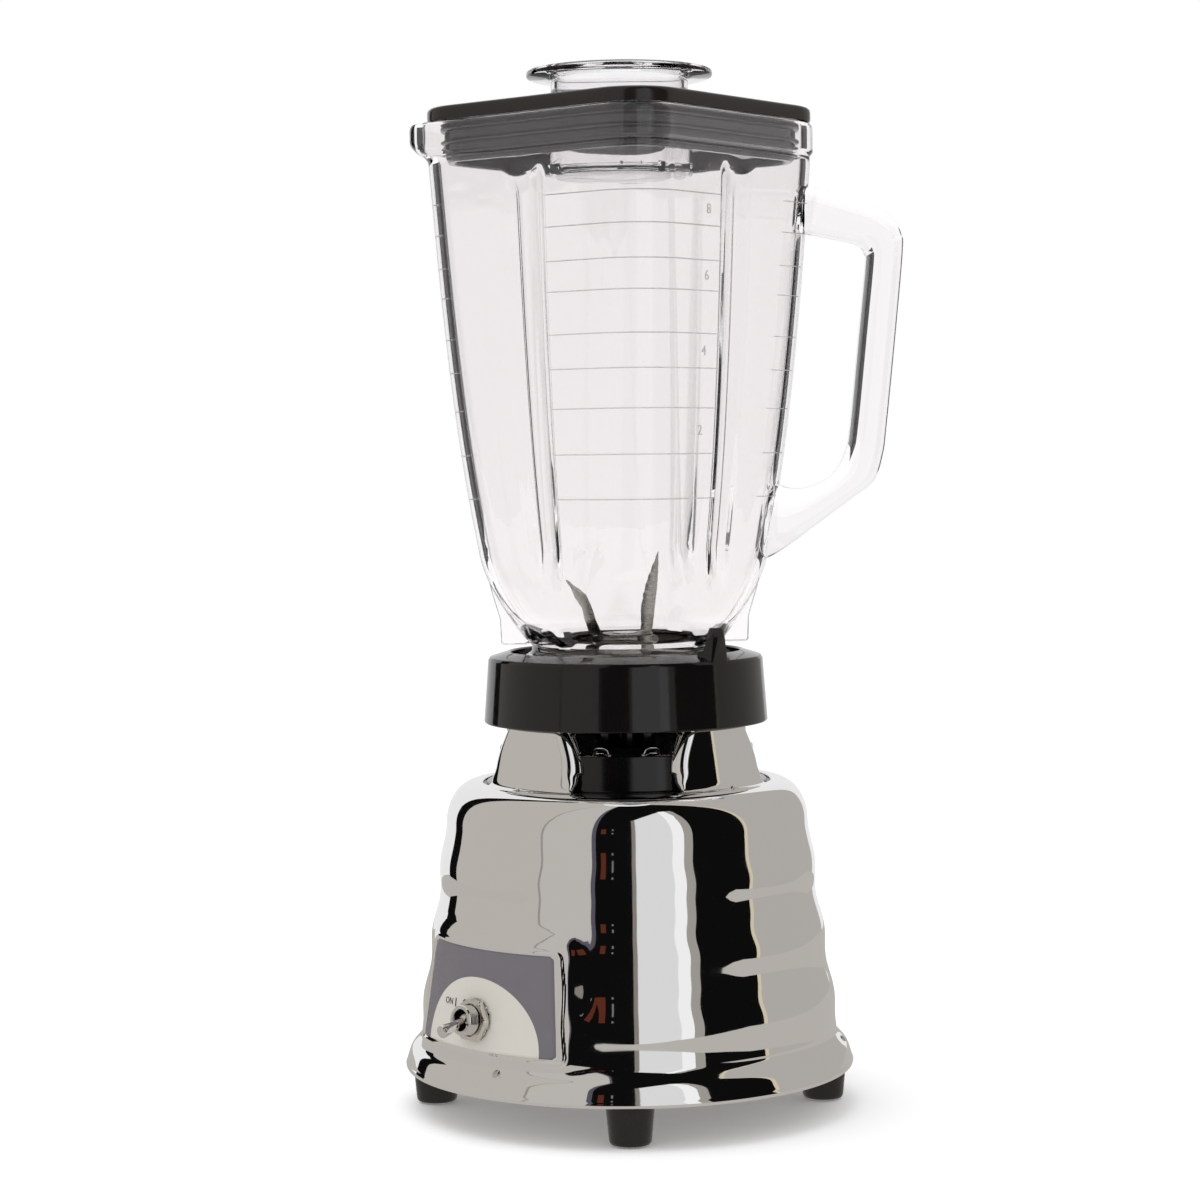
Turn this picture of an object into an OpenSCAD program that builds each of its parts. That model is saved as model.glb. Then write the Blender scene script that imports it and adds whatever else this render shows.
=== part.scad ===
// Countertop blender: chrome motor base with a rippled shell, threaded collar with
// the blades, square glass jar with a solid handle, soft lid and clear filler cap.
// The origin is the centre of the base on the table, +Z is up and -Y is the front.

/* [Shell] */
// Thickness of the shell's sheet
sheet_t = 1.2; // [0.8:0.1:2]
// Radius of the flared rim
rim_r = 81.8; // [80:0.1:84]
// Height of the rim's lower edge
rim_z = 14; // [13.5:0.1:14.5]
// Height where the flare meets the rippled wall
flare_top_z = 28; // [26:0.5:30]
// Mean radius of the rippled wall at its foot
wall_foot_r = 75.9; // [75:0.1:77]
// How much the wall narrows per millimetre of height
wall_slope = 0.1445; // [0.13:0.001:0.15]
// Depth of a ripple each way
ripple = 0.6; // [0:0.1:0.9]
// Height from one ripple to the next
ripple_pitch = 23.8; // [20:0.1:28]
// Height of a ripple's crest
ripple_crest_z = 64.05; // [60:0.1:68]
// Height of the shoulder's top
shoulder_z = 117.4; // [117:0.1:117.8]
// How far the shoulder's rounded edge reaches inward
shoulder_round = 11; // [10:0.5:12]
// How far down the wall the rounded edge begins
shoulder_rise = 15; // [14:0.5:16]
// How much fuller the wall is just below the shoulder
top_fullness = 0.9; // [0:0.1:1]

/* [Neck] */
// Radius of the neck at the shoulder
neck_r = 52.2; // [52:0.1:52.4]
// How much the neck narrows per millimetre of height
neck_slope = 0.2; // [0.19:0.01:0.22]
// Height of the neck's top, where the collar rests
neck_top_z = 146; // [145:0.5:146]
// Narrowest width of a window in the neck
window_w = 33.6; // [30:0.2:36]
// Height of the rim of the black cover inside the neck
cover_rim_z = 129.4; // [126:0.1:130]

/* [Feet] */
// Distance of each foot from the middle
foot_circle_r = 70.5; // [68:0.5:70.5]
// Radius of a foot at its top
foot_r = 8.65; // [7:0.05:9]

/* [Switch and label] */
// Height of the label's lower edge
label_z0 = 29.2; // [28:0.1:30]
// Height of the label's upper edge
label_z1 = 64; // [60:0.1:65]
// Half the label's width at its lower edge
label_half_low = 34; // [30:0.1:35]
// Half the label's width at its upper edge
label_half_high = 30; // [26:0.1:31]
// Width of the chrome frame round the label
frame_w = 2.2; // [1.5:0.1:2.6]
// Height of the switch on the label
switch_z = 39.7; // [39:0.1:41]
// Radius of the switch's threaded sleeve
sleeve_r = 5.2; // [5:0.05:5.4]
// How far the sleeve stands out of the label
sleeve_out = 6.8; // [6.4:0.1:7.4]
// Angle of the lever below the sleeve's axis when it is off
lever_angle = 20; // [10:1:20]

/* [Drive] */
// Running clearance of a shaft in its bearing
running_gap = 0.05; // [0.02:0.01:0.08]
// Width of the square drive stud
stud_w = 7.9; // [7.5:0.1:8]
// Distance of the cover's screws from the middle
cover_screw_r = 13.7; // [13.5:0.1:14]
// Distance of the motor's long bolts from the middle
bolt_r = 42.5; // [42:0.1:43]

/* [Collar] */
// Radius of the collar at its lower edge
collar_r = 51.4; // [51.2:0.1:52]
// Height of the collar's lower edge
collar_z = 138.5; // [138:0.5:140]
// Radius of the collar's threaded hole
collar_bore_r = 41.6; // [41.4:0.1:42]
// Height of the tab's top
tab_top_z = 174; // [172:0.5:175]

/* [Jar] */
// Angle that the jar is turned to on the base
jar_turn = 5.7; // [0:0.1:10]
// Wall thickness of the glass
glass_t = 3.5; // [3:0.1:3.8]
// Half the jar's diagonal just under the rim
jar_diag = 68.8; // [68:0.1:69]
// Height of the rim's top
jar_top_z = 353.6; // [353:0.1:354]
// Radius of the round waist above the collar
waist_r = 33.8; // [33:0.1:34.5]
// Radius of the part that screws into the collar
finish_r = 39.4; // [39:0.1:39.5]
// Depth of the groove down the middle of each side
flute_d = 2.6; // [0:0.1:3]
// Thickness of the handle
handle_t = 17; // [14:0.5:19]

/* [Lid and cap] */
// Half the width of the lid
lid_half = 54.15; // [54:0.05:54.5]
// Height of the lid's top
lid_top_z = 359.3; // [358.5:0.1:360]
// Radius of the filler hole
filler_r = 25.2; // [25.2:0.1:25.5]
// Radius of the cap's flange
cap_flange_r = 33.4; // [32:0.1:34]
// Height of the cap's top
cap_top_z = 372.5; // [371:0.5:374]

/* [Hidden] */
$fn = 64;

chrome = [0.85, 0.84, 0.82];
steel = [0.7, 0.7, 0.7];
dark_steel = [0.35, 0.35, 0.37];
black = [0.13, 0.12, 0.12];
copper = [0.72, 0.42, 0.24];
clear = [0.9, 0.92, 0.92, 0.4];

window_angles = [45, 135, 225, 315];
frame_face_r = 77;          // radius of the frame's face at the label's lower edge
face_slope = 0.1347;        // how much that face narrows per millimetre of height
label_t = 0.4;
foot_h = 15;
shaft_r = 3.95;             // radius of the motor shaft and the blade shaft
switch_tilt = atan(face_slope);
switch_r = frame_face_r - face_slope * (switch_z - label_z0) + label_t;
sleeve_back = 8;            // from the label's face to the switch case
sleeve_bore_r = 3.75;
nut_flat_r = 6.9;           // half the nut's width across its flats
lever_reach = 12.2;         // from the lever's pivot to its end
pivot_out = 3.6;            // from the label's face to the lever's pivot
shell_screw_z = 23;
shell_screw_angles = [-81, 39, 159];
grommet_z = 38;
plate_z = foot_h;
plate_top_z = 17;
bracket_top_z = shoulder_z - sheet_t;
bracket_z = 110;
lower_bracket_z = 44;
lower_bracket_top_z = 47.5;
stator_z = [68, 94];
platform_z = 123.5;         // top of the drip cover
stud_top_z = 135.5;
socket_z = 129.6;
socket_top_z = 139.5;
hub_z = 141;
blade_shaft_z = 136;        // lower end of the blade shaft
hub_top_z = 166;
flange_z = 149.5;           // top of the collar's shelf
flange_t = 1.2;
seal_z = flange_z + flange_t;
jar_foot_z = seal_z + 2.2;  // lower end of the glass, on the sealing ring
blade_z = 166.3;
tab_angle = -3;
body_low_z = 202;           // below this the jar rounds in to its waist
lid_turns = [0, 120, 240];

function smooth(t) = let (u = min(max(t, 0), 1)) u * u * (3 - 2 * u);
function wall_r(z) = wall_foot_r - wall_slope * (z - flare_top_z)
    + ripple * cos(360 * (z - ripple_crest_z) / ripple_pitch)
    + top_fullness * smooth((z - 80) / 20);
function flare(t) = (smooth(t) + sin(90 * t)) / 2;
function shell_r(z) = z >= flare_top_z ? wall_r(z) : wall_r(flare_top_z)
    + (rim_r - wall_r(flare_top_z)) * flare((flare_top_z - z) / (flare_top_z - rim_z - 2));
function neck_r_at(z) = neck_r - neck_slope * (z - shoulder_z - 1);
function face_r(z) = frame_face_r - face_slope * (z - label_z0);
function reversed(list) = [for (i = [len(list) - 1:-1:0]) list[i]];

// Wall and shoulder from the rim upward, moved inward by t
shoulder_mid_z = shoulder_z - shoulder_rise;
shoulder_mid_r = wall_r(shoulder_mid_z) - shoulder_round;
function shell_side(t) = concat(
    [for (z = [rim_z + 2:1.5:flare_top_z]) [shell_r(z) - t, z]],
    [for (z = [flare_top_z + 2:2.5:shoulder_mid_z - 1]) [wall_r(z) - t, z]],
    [for (a = [0:10:90]) [shoulder_mid_r + (shoulder_round - t) * cos(a),
                          shoulder_mid_z + (shoulder_rise - t) * sin(a)]]);

// Places children at the switch, with +Z out of the label and +Y up it
module at_switch() {
    translate([0, -switch_r, switch_z]) rotate([90 - switch_tilt, 0, 0]) children();
}

// Extrudes an outline of (sideways, height) points outward along +X
module outward(from, to) {
    rotate([90, 0, 90]) translate([0, 0, from]) linear_extrude(to - from) children();
}

// A plate standing in the plane through the axis, outlined by (radius, height) points
module radial_plate(angle, thickness) {
    rotate([0, 0, angle]) rotate([90, 0, 0]) linear_extrude(thickness, center = true) children();
}

module ring(r_out, r_in, z0, z1) {
    difference() {
        translate([0, 0, z0]) cylinder(r = r_out, h = z1 - z0);
        translate([0, 0, z0 - 1]) cylinder(r = r_in, h = z1 - z0 + 2);
    }
}

module rounded_square(half, r) {
    square([2 * half, 2 * (half - r)], center = true);
    square([2 * (half - r), 2 * half], center = true);
    for (x = [-1, 1], y = [-1, 1]) translate([x, y] * (half - r)) circle(r);
}

// Outline of the label, grown by g, as a prism towards the front
module label_prism(g) {
    c = 2;
    low = label_half_low + g;
    high = label_half_high + g;
    z0 = label_z0 - g;
    z1 = label_z1 + g;
    rotate([90, 0, 0]) linear_extrude(100) polygon([
        [-low + c, z0], [low - c, z0], [low, z0 + c], [high, z1 - c],
        [high - c, z1], [-high + c, z1], [-high, z1 - c], [-low, z0 + c]]);
}

module housing() {
    neck_inner = neck_top_z - sheet_t;
    color(chrome) difference() {
        union() {
            rotate_extrude() polygon(concat(
                [[rim_r - 1.1, rim_z], [rim_r - 0.2, rim_z + 0.6]],
                shell_side(0),
                [[neck_r + 0.9, shoulder_z], [neck_r + 0.2, shoulder_z + 0.3],
                 [neck_r, shoulder_z + 1], [neck_r_at(neck_top_z), neck_top_z],
                 [42, neck_top_z], [42, neck_inner],
                 [neck_r_at(neck_inner) - sheet_t, neck_inner],
                 [neck_r - sheet_t, shoulder_z - sheet_t]],
                reversed(shell_side(sheet_t)),
                [[rim_r - 2.3, rim_z]]));
            intersection() {
                rotate_extrude() polygon(concat(
                    [for (z = [label_z0 - 3.2:1.6:label_z1 + 3]) [shell_r(z) - sheet_t / 2, z]],
                    [[face_r(label_z1 + 3), label_z1 + 3], [face_r(label_z0 - 3.2), label_z0 - 3.2]]));
                label_prism(frame_w);
            }
        }
        for (a = window_angles) rotate([0, 0, a]) outward(40, 60) polygon(concat(
            window_side(1), reversed(window_side(-1))));
        at_switch() translate([0, 0, -12]) cylinder(r = sleeve_r + 0.1, h = 20);
        for (a = shell_screw_angles) rotate([0, 0, a])
            translate([70, 0, shell_screw_z]) rotate([0, 90, 0]) cylinder(r = 1.6, h = 15);
        translate([0, 65, grommet_z]) rotate([-90, 0, 0]) cylinder(r = 5.6, h = 20);
    }
}

// One edge of a window: waisted, flaring out at the shoulder and under the collar
function window_side(s) = [
    for (p = [[2.2, 0.6], [0.6, 3.4], [0, 8.6], [0.9, 14.6], [3.4, 21.1], [3.8, 24.1]])
        [s * (window_w / 2 + p[0]), shoulder_z + p[1]]];

module label_plate() {
    color([0.42, 0.4, 0.43]) difference() {
        intersection() {
            rotate_extrude() polygon([
                for (p = [[0, 0], [label_t, 0], [label_t, 1], [0, 1]])
                    let (z = p[1] * (label_z1 - label_z0 + 2) + label_z0 - 1) [face_r(z) + p[0], z]]);
            label_prism(0);
        }
        at_switch() translate([0, 0, -12]) cylinder(r = sleeve_r + 0.1, h = 20);
    }
}

module switch_body() {
    color(black) at_switch() translate([-8, -12.5, -sleeve_back - 16]) cube([16, 25, 16]);
}

module switch_terminals() {
    color("goldenrod") at_switch() for (y = [-8, 0, 8])
        translate([-3.15, y - 0.4, -sleeve_back - 21.5]) cube([6.3, 0.8, 5.5]);
}

module switch_bushing() {
    color(steel) at_switch() ring(sleeve_r, sleeve_bore_r, -sleeve_back, sleeve_out);
}

module switch_nut() {
    color(steel) at_switch() difference() {
        union() {
            cylinder(r = nut_flat_r + 0.3, h = 0.4);
            translate([0, 0, 0.4]) cylinder(r = nut_flat_r / cos(30), h = 2, $fn = 6);
        }
        translate([0, 0, -1]) cylinder(r = sleeve_r + 0.02, h = 6);
    }
}

module switch_lever() {
    color(chrome) at_switch() translate([0, 0, pivot_out]) rotate([lever_angle, 0, 0]) {
        sphere(r = 2.6);
        cylinder(r1 = 1.6, r2 = 2.3, h = lever_reach);
    }
}

module base_plate() {
    color(dark_steel) difference() {
        union() {
            translate([0, 0, plate_z]) cylinder(r = rim_r - 2.3, h = plate_top_z - plate_z);
            ring(74.4, 72.8, plate_top_z - 0.5, 26.5);
        }
        for (a = window_angles) rotate([0, 0, a])
            translate([foot_circle_r, 0, plate_z - 1]) cylinder(r = 2.05, h = 5);
        for (a = [0:30:330]) rotate([0, 0, a]) translate([24, -2.5, plate_z - 1]) cube([26, 5, 5]);
        for (a = shell_screw_angles) rotate([0, 0, a])
            translate([68, 0, shell_screw_z]) rotate([0, 90, 0]) cylinder(r = 1.55, h = 10);
    }
}

module shell_screws() {
    color(chrome) for (a = shell_screw_angles) rotate([0, 0, a])
        translate([71, 0, shell_screw_z]) rotate([0, 90, 0]) {
            cylinder(r = 1.5, h = 8);
            translate([0, 0, 8]) cylinder(r1 = 1.5, r2 = 1, h = 0.5);
        }
}

module foot(i) {
    color([0.14, 0.13, 0.12]) rotate([0, 0, window_angles[i]]) translate([foot_circle_r, 0, 0])
        difference() {
            rotate_extrude() polygon([[0, 0], [6.7, 0], [7.3, 0.3], [7.7, 1], [foot_r, foot_h], [0, foot_h]]);
            translate([0, 0, -1]) cylinder(r = 4.2, h = 7);
            cylinder(r = 2.1, h = foot_h + 1);
        }
}

module foot_screws() {
    color(steel) for (a = window_angles) rotate([0, 0, a]) translate([foot_circle_r, 0, 0]) {
        translate([0, 0, 3.6]) cylinder(r = 3.8, h = 2.4);
        translate([0, 0, 5]) cylinder(r = 2, h = plate_top_z - 4);
    }
}

module cord_grommet() {
    color(black) translate([0, 0, grommet_z]) rotate([-90, 0, 0]) difference() {
        union() {
            translate([0, 0, 76]) cylinder(r = 8.5, h = 3.5);
            translate([0, 0, 69]) cylinder(r = 5.4, h = 8);
            translate([0, 0, 68]) cylinder(r = 7.5, h = 2.5);
        }
        translate([0, 0, 66]) cylinder(r = 3.6, h = 15);
    }
}

module drip_cover() {
    color(black) difference() {
        union() {
            rotate_extrude() polygon([
                [50.8, bracket_top_z], [50.8, 117.4], [46, 117.6], [45.6, cover_rim_z - 0.4],
                [45.2, cover_rim_z], [44.2, cover_rim_z], [43.8, cover_rim_z - 0.4], [43.4, 118.6],
                [40, 118.8], [30, 121.9], [24, platform_z], [9, platform_z], [9, 121.5], [23, 121.5],
                [38, 117], [42, bracket_top_z]]);
            for (a = [0:90:270]) rotate([0, 0, a]) translate([cover_screw_r, 0, bracket_top_z])
                cylinder(r = 4, h = 6);
        }
        for (a = [0:90:270]) rotate([0, 0, a])
            translate([cover_screw_r, 0, bracket_top_z - 1]) cylinder(r = 2.05, h = 12);
    }
}

module cover_screws() {
    color(chrome) for (a = [0:90:270]) rotate([0, 0, a]) translate([cover_screw_r, 0, 0]) {
        translate([0, 0, 105]) cylinder(r = 1.95, h = platform_z - 105 + 1);
        translate([0, 0, platform_z]) rotate_extrude() polygon([
            [0, 0], [3.4, 0], [3.4, 0.8], [2.9, 1.9], [1.8, 2.7], [0, 3]]);
    }
}

module upper_bracket() {
    color(steel) difference() {
        union() {
            translate([0, 0, bracket_z]) cylinder(r = 54, h = bracket_top_z - bracket_z);
            translate([0, 0, 101]) cylinder(r = 18, h = 10);
        }
        translate([0, 0, 100]) cylinder(r = 11, h = 8);
        translate([0, 0, 100]) cylinder(r = 6.5, h = 20);
        for (a = [0:90:270]) rotate([0, 0, a]) {
            translate([cover_screw_r, 0, 100]) cylinder(r = 2.05, h = 20);
            rotate([0, 0, 45]) translate([bolt_r, 0, 100]) cylinder(r = 2.1, h = 20);
            rotate([0, 0, 45]) translate([28, -7, 100]) cube([8, 14, 20]);
        }
    }
}

module lower_bracket() {
    color(steel) difference() {
        union() {
            for (a = [45, 135]) rotate([0, 0, a]) translate([-46.5, -8, lower_bracket_z])
                cube([93, 16, lower_bracket_top_z - lower_bracket_z]);
            translate([0, 0, 38]) cylinder(r = 15, h = lower_bracket_top_z - 38);
        }
        translate([0, 0, 37]) cylinder(r = 11, h = 9);
        translate([0, 0, 37]) cylinder(r = 5, h = 20);
        for (a = window_angles) rotate([0, 0, a]) translate([bolt_r, 0, 40]) cylinder(r = 2.1, h = 20);
    }
}

module bearing(z0, z1) {
    color("peru") ring(10.97, shaft_r + running_gap, z0, z1);
}

module stator_core() {
    h = stator_z[1] - stator_z[0];
    color(dark_steel) difference() {
        union() {
            ring(46, 39, stator_z[0], stator_z[1]);
            for (s = [0, 180]) rotate([0, 0, s]) {
                translate([-11, 25.5, stator_z[0]]) cube([22, 14.5, h]);
                intersection() {
                    ring(27, 23, stator_z[0], stator_z[1]);
                    translate([0, 0, stator_z[0]]) linear_extrude(h) polygon([[0, 0], [36, 30], [-36, 30]]);
                }
            }
        }
        for (a = window_angles) rotate([0, 0, a])
            translate([bolt_r, 0, stator_z[0] - 1]) cylinder(r = 2.1, h = h + 2);
    }
}

module field_coils() {
    color(copper) for (s = [0, 180]) rotate([0, 0, s]) difference() {
        translate([-19, 27.6, stator_z[0] - 8]) cube([38, 6, stator_z[1] - stator_z[0] + 16]);
        translate([-11.2, 27, stator_z[0] - 0.2]) cube([22.4, 8, stator_z[1] - stator_z[0] + 0.4]);
    }
}

module brush_holders() {
    color("peru") for (s = [0, 180]) rotate([0, 0, s]) difference() {
        translate([14, -5.5, lower_bracket_top_z]) cube([20, 11, 12]);
        translate([13, -2.6, 50.4]) cube([19.5, 5.2, 8.2]);
    }
}

module carbon_brushes() {
    color([0.2, 0.2, 0.2]) for (s = [0, 180]) rotate([0, 0, s])
        translate([11.3, -2.5, 50.5]) cube([16, 5, 8]);
}

module motor_bolts() {
    color(steel) for (a = window_angles) rotate([0, 0, a]) translate([bolt_r, 0, 0]) {
        translate([0, 0, 41]) cylinder(r = 4, h = lower_bracket_z - 41, $fn = 6);
        translate([0, 0, 43]) cylinder(r = 2, h = bracket_top_z - 44);
    }
}

module motor_shaft() {
    color(chrome) translate([0, 0, 22]) cylinder(r = shaft_r, h = 99);
}

module armature_core() {
    color(dark_steel) difference() {
        ring(22.5, shaft_r, stator_z[0], stator_z[1]);
        for (a = [0:30:330]) rotate([0, 0, a]) translate([13, -1.3, stator_z[0] - 1]) cube([12, 2.6, 30]);
    }
}

module armature_windings() {
    color(copper) {
        ring(20, 8, 61, stator_z[0]);
        ring(20, 8, stator_z[1], 100);
        for (a = [0:30:330]) rotate([0, 0, a])
            translate([13.4, -1.1, stator_z[0] - 0.5]) cube([8, 2.2, stator_z[1] - stator_z[0] + 1]);
    }
}

module commutator() {
    color(copper) ring(11, shaft_r, 49.5, 60);
}

module cooling_fan() {
    color([0.2, 0.2, 0.22]) difference() {
        union() {
            translate([0, 0, 24.5]) cylinder(r = 44, h = 1.6);
            translate([0, 0, 24.5]) cylinder(r = 9, h = 9);
            for (a = [0:40:320]) rotate([0, 0, a]) translate([8, -0.8, 25]) cube([35, 1.6, 9]);
        }
        translate([0, 0, 20]) cylinder(r = shaft_r, h = 20);
    }
}

module slinger() {
    color(black) difference() {
        translate([0, 0, platform_z + 0.5]) cylinder(r = 9.6, h = 1.2);
        translate([-stud_w / 2, -stud_w / 2, platform_z]) cube([stud_w, stud_w, 3]);
    }
}

module drive_stud() {
    color(steel) difference() {
        union() {
            translate([0, 0, 117]) cylinder(r = 6, h = platform_z + 0.5 - 117);
            translate([-stud_w / 2, -stud_w / 2, 122]) cube([stud_w, stud_w, stud_top_z - 122]);
        }
        translate([0, 0, 110]) cylinder(r = shaft_r, h = 11.5);
    }
}

module collar() {
    skirt_r = 49;
    color(black) union() {
        rotate_extrude() polygon([
            [collar_r - 0.5, collar_z], [collar_r, collar_z + 0.5], [49.75, 161.5], [49, 162.3],
            [collar_bore_r, 164.5], [collar_bore_r, flange_z], [36, flange_z],
            [36, neck_top_z], [skirt_r, neck_top_z], [skirt_r, collar_z]]);
        intersection() {
            radial_plate(tab_angle, 12) polygon([
                [42, 163], [49.2, 161], [49.2, 171], [48, tab_top_z], [46.4, tab_top_z],
                [45.9, tab_top_z - 0.6], [45.9, 166], [44, 166], [42, 164.9]]);
            rotate([0, 0, tab_angle]) outward(40, 55) polygon([
                [-4.15, 160], [4.15, 160], [4.15, 166], [2, tab_top_z], [-2, tab_top_z], [-4.15, 166]]);
        }
    }
}

module blade_bearing() {
    color(steel) difference() {
        union() {
            translate([0, 0, flange_z]) cylinder(r = 40.8, h = flange_t);
            translate([0, 0, hub_z]) cylinder(r = 9.5, h = flange_z - hub_z + 1);
            translate([0, 0, flange_z + 0.5]) cylinder(r = 9.6, h = hub_top_z - flange_z - 0.5, $fn = 6);
        }
        translate([0, 0, hub_z - 1]) cylinder(r = 6, h = 30);
    }
}

module bearing_bush() {
    color("peru") ring(5.98, shaft_r + running_gap, hub_z, hub_top_z);
}

module blade_shaft() {
    color(steel) {
        translate([0, 0, blade_shaft_z]) cylinder(r = shaft_r, h = 32.5);
        translate([0, 0, blade_z + 1.9]) cylinder(r = 4.6, h = 0.6);
    }
}

module drive_socket() {
    hole = stud_w + 0.4;
    color(black) difference() {
        translate([0, 0, socket_z]) cylinder(r = 10.4, h = socket_top_z - socket_z);
        translate([-hole / 2, -hole / 2, socket_z - 1]) cube([hole, hole, blade_shaft_z - socket_z + 1]);
        translate([0, 0, blade_shaft_z]) cylinder(r = shaft_r, h = 10);
    }
}

module thrust_washer() {
    color("goldenrod") ring(7, shaft_r, socket_top_z, hub_z - 0.25);
}

// A cross-section of a blade arm: distance out, height, width and sideways offset
module blade_station(out, z, w, side = 0) {
    translate([out - 0.6, side - w / 2, z]) cube([1.2, w, 0.6]);
}

module blade_arm(stations) {
    for (i = [0:len(stations) - 2]) hull() {
        blade_station(stations[i][0], stations[i][1], stations[i][2], stations[i][3]);
        blade_station(stations[i + 1][0], stations[i + 1][1], stations[i + 1][2], stations[i + 1][3]);
    }
}

module blade_disc(z, t) {
    translate([0, 0, z]) difference() {
        cylinder(r = 10.5, h = t);
        translate([0, 0, -1]) cylinder(r = shaft_r, h = 4);
    }
}

module lower_blade() {
    color(chrome) {
        blade_disc(blade_z, 0.9);
        for (s = [0, 180]) rotate([0, 0, 15 + s])
            blade_arm([[10.4, blade_z, 10, 0], [12, 162.4, 8, 0], [24, 161.8, 6, 0], [26.5, 163.2, 3, 0]]);
    }
}

module upper_blade() {
    z = blade_z + 0.9;
    color(chrome) {
        blade_disc(z, 1);
        rotate([0, 0, 83]) blade_arm([[9.6, z, 8, -1], [12.4, 178, 9.4, 1], [17.4, 200, 1, -1.6]]);
        rotate([0, 0, 263]) blade_arm([[9.6, z, 9.4, -2.4], [15.4, 179, 7, -0.6], [22.2, 190, 1, -4.8]]);
    }
}

module sealing_ring() {
    color([0.9, 0.88, 0.84]) ring(40.6, 33, seal_z, jar_foot_z);
}

// Section of the jar at height z: half the side, and the radius of its corners
function jar_diag_at(z) = let (u = max(337.8 - z, 0)) jar_diag - 0.078 * u - 2.1e-6 * pow(u, 3);
function corner_high(z) = 22 - 0.0257 * (z - body_low_z);
function side_from(diag, c) = (diag - c) / sqrt(2) + c;
function low_t(z) = (body_low_z - z) / (body_low_z - 165.5);
function corner_at(z) = z >= body_low_z ? corner_high(z) : 22 + (waist_r - 22) * low_t(z);
function half_at(z) = z >= body_low_z ? side_from(jar_diag_at(z), corner_high(z))
    : waist_r + (side_from(jar_diag_at(body_low_z), 22) - waist_r) * cos(90 * low_t(z));
function flute_at(z) = flute_d * smooth((z - 198) / 14) * smooth((338 - z) / 7);
function spout_at(z, a) = let (d = (a - jar_turn - 225) / 9)
    6.3 * exp(-d * d) * smooth((z - 334) / (jar_top_z - 334));
function spun(p, a) = [p[0] * cos(a) - p[1] * sin(a), p[0] * sin(a) + p[1] * cos(a)];
function with_spout(p, z) = let (a = (atan2(p[1], p[0]) + 360) % 360, r = norm(p))
    p * (r + spout_at(z, a)) / r;

// One ring of points round the jar, moved inward by t
function jar_ring(z, t) = let (
        a = half_at(z) - t,
        c = max(corner_at(z) - t, 6),
        w = min(6.5 + 3 * (z - 198) / 142, 0.6 * (a - c)),
        quarter = concat(
            [for (s = [-1, -0.5, 0, 0.5, 1]) [a - flute_at(z) * pow(cos(90 * s), 2), s * w]],
            [for (q = [0:15:90]) [a - c + c * cos(q), a - c + c * sin(q)]]))
    [for (k = [0:3], p = quarter) concat(with_spout(spun(p, jar_turn + 90 * k), z), z)];

module jar_loft(levels, t) {
    rings = [for (z = levels) jar_ring(z, t)];
    n = len(rings[0]);
    m = len(levels);
    sides = [for (i = [0:m - 2], j = [0:n - 1])
        let (j2 = (j + 1) % n) [i * n + j, (i + 1) * n + j, (i + 1) * n + j2, i * n + j2]];
    polyhedron(
        points = [for (r = rings, p = r) p],
        faces = concat(sides, [[for (j = [0:n - 1]) j]],
            [[for (j = [n - 1:-1:0]) (m - 1) * n + j]]),
        convexity = 6);
}

handle_path = [
    [50.2, 197], [53, 196.6], [91.3, 224], [94.6, 234], [96, 244], [102.5, 308], [101.6, 314],
    [98.9, 320], [94, 323.4], [72, 330], [66.5, 331.5], [66, 314.3], [68.7, 314],
    [85.5, 310.2], [88.6, 308.5], [89.5, 304], [83.3, 244], [81.6, 235.5], [77.8, 228.7],
    [73.5, 224.6], [66.2, 222], [60, 222.2], [54.8, 224.5]];

// Kept as one mesh, because the loft and the handle have no true curves to keep
module glass_jar() {
    low = [168, 171, 175, 180, 186, 192, 198];
    high = [204, 214, 226, 240, 256, 274, 292, 310, 324, 331, 335, 338];
    color(clear) resize([0, 0, 0]) difference() {
        union() {
            jar_loft(concat(low, high, [343, 348, jar_top_z]), 0);
            rotate_extrude() polygon([
                [0, jar_foot_z], [finish_r, jar_foot_z], [finish_r, 161.5], [waist_r + 1.4, 163.6],
                [waist_r, 164.6], [waist_r, 167], [waist_r + 0.8, 169], [0, 169]]);
            for (a = [45:90:315]) radial_plate(jar_turn + a, 4.2) polygon([
                [33, 167.5], [36, 166.6], [44.2, 166.6], [45, 167.4], [45.3, 176], [49.5, 190], [49, 198], [42, 198],
                [33, 172]]);
            radial_plate(jar_turn + 45, handle_t) offset(delta = -2.2) polygon(handle_path);
            radial_plate(jar_turn + 45, handle_t - 6) polygon(handle_path);
        }
        jar_loft(concat([168], [for (z = low) z + 2.5], high, [343, jar_top_z + 1]), glass_t);
        translate([0, 0, jar_foot_z - 1]) cylinder(r = 30.2, h = 20);
    }
}

module lid() {
    color([0.22, 0.19, 0.18]) rotate([0, 0, jar_turn]) difference() {
        union() {
            translate([0, 0, jar_top_z]) linear_extrude(lid_top_z - jar_top_z) rounded_square(lid_half, 18);
            translate([0, 0, 339.5]) linear_extrude(jar_top_z - 339.5 + 1) rounded_square(48.3, 16);
            for (z = [341.5, 346, 350.5])
                translate([0, 0, z]) linear_extrude(1.2) rounded_square(49.6, 16.5);
        }
        difference() {
            translate([0, 0, 338]) linear_extrude(18.5) rounded_square(45, 13);
            translate([0, 0, 345]) cylinder(r = 31.5, h = 20);
        }
        translate([0, 0, 338]) cylinder(r = filler_r, h = 30);
        for (a = lid_turns) rotate([0, 0, a]) translate([20, -6.2, 338]) cube([8.3, 12.4, 30]);
    }
}

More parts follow.
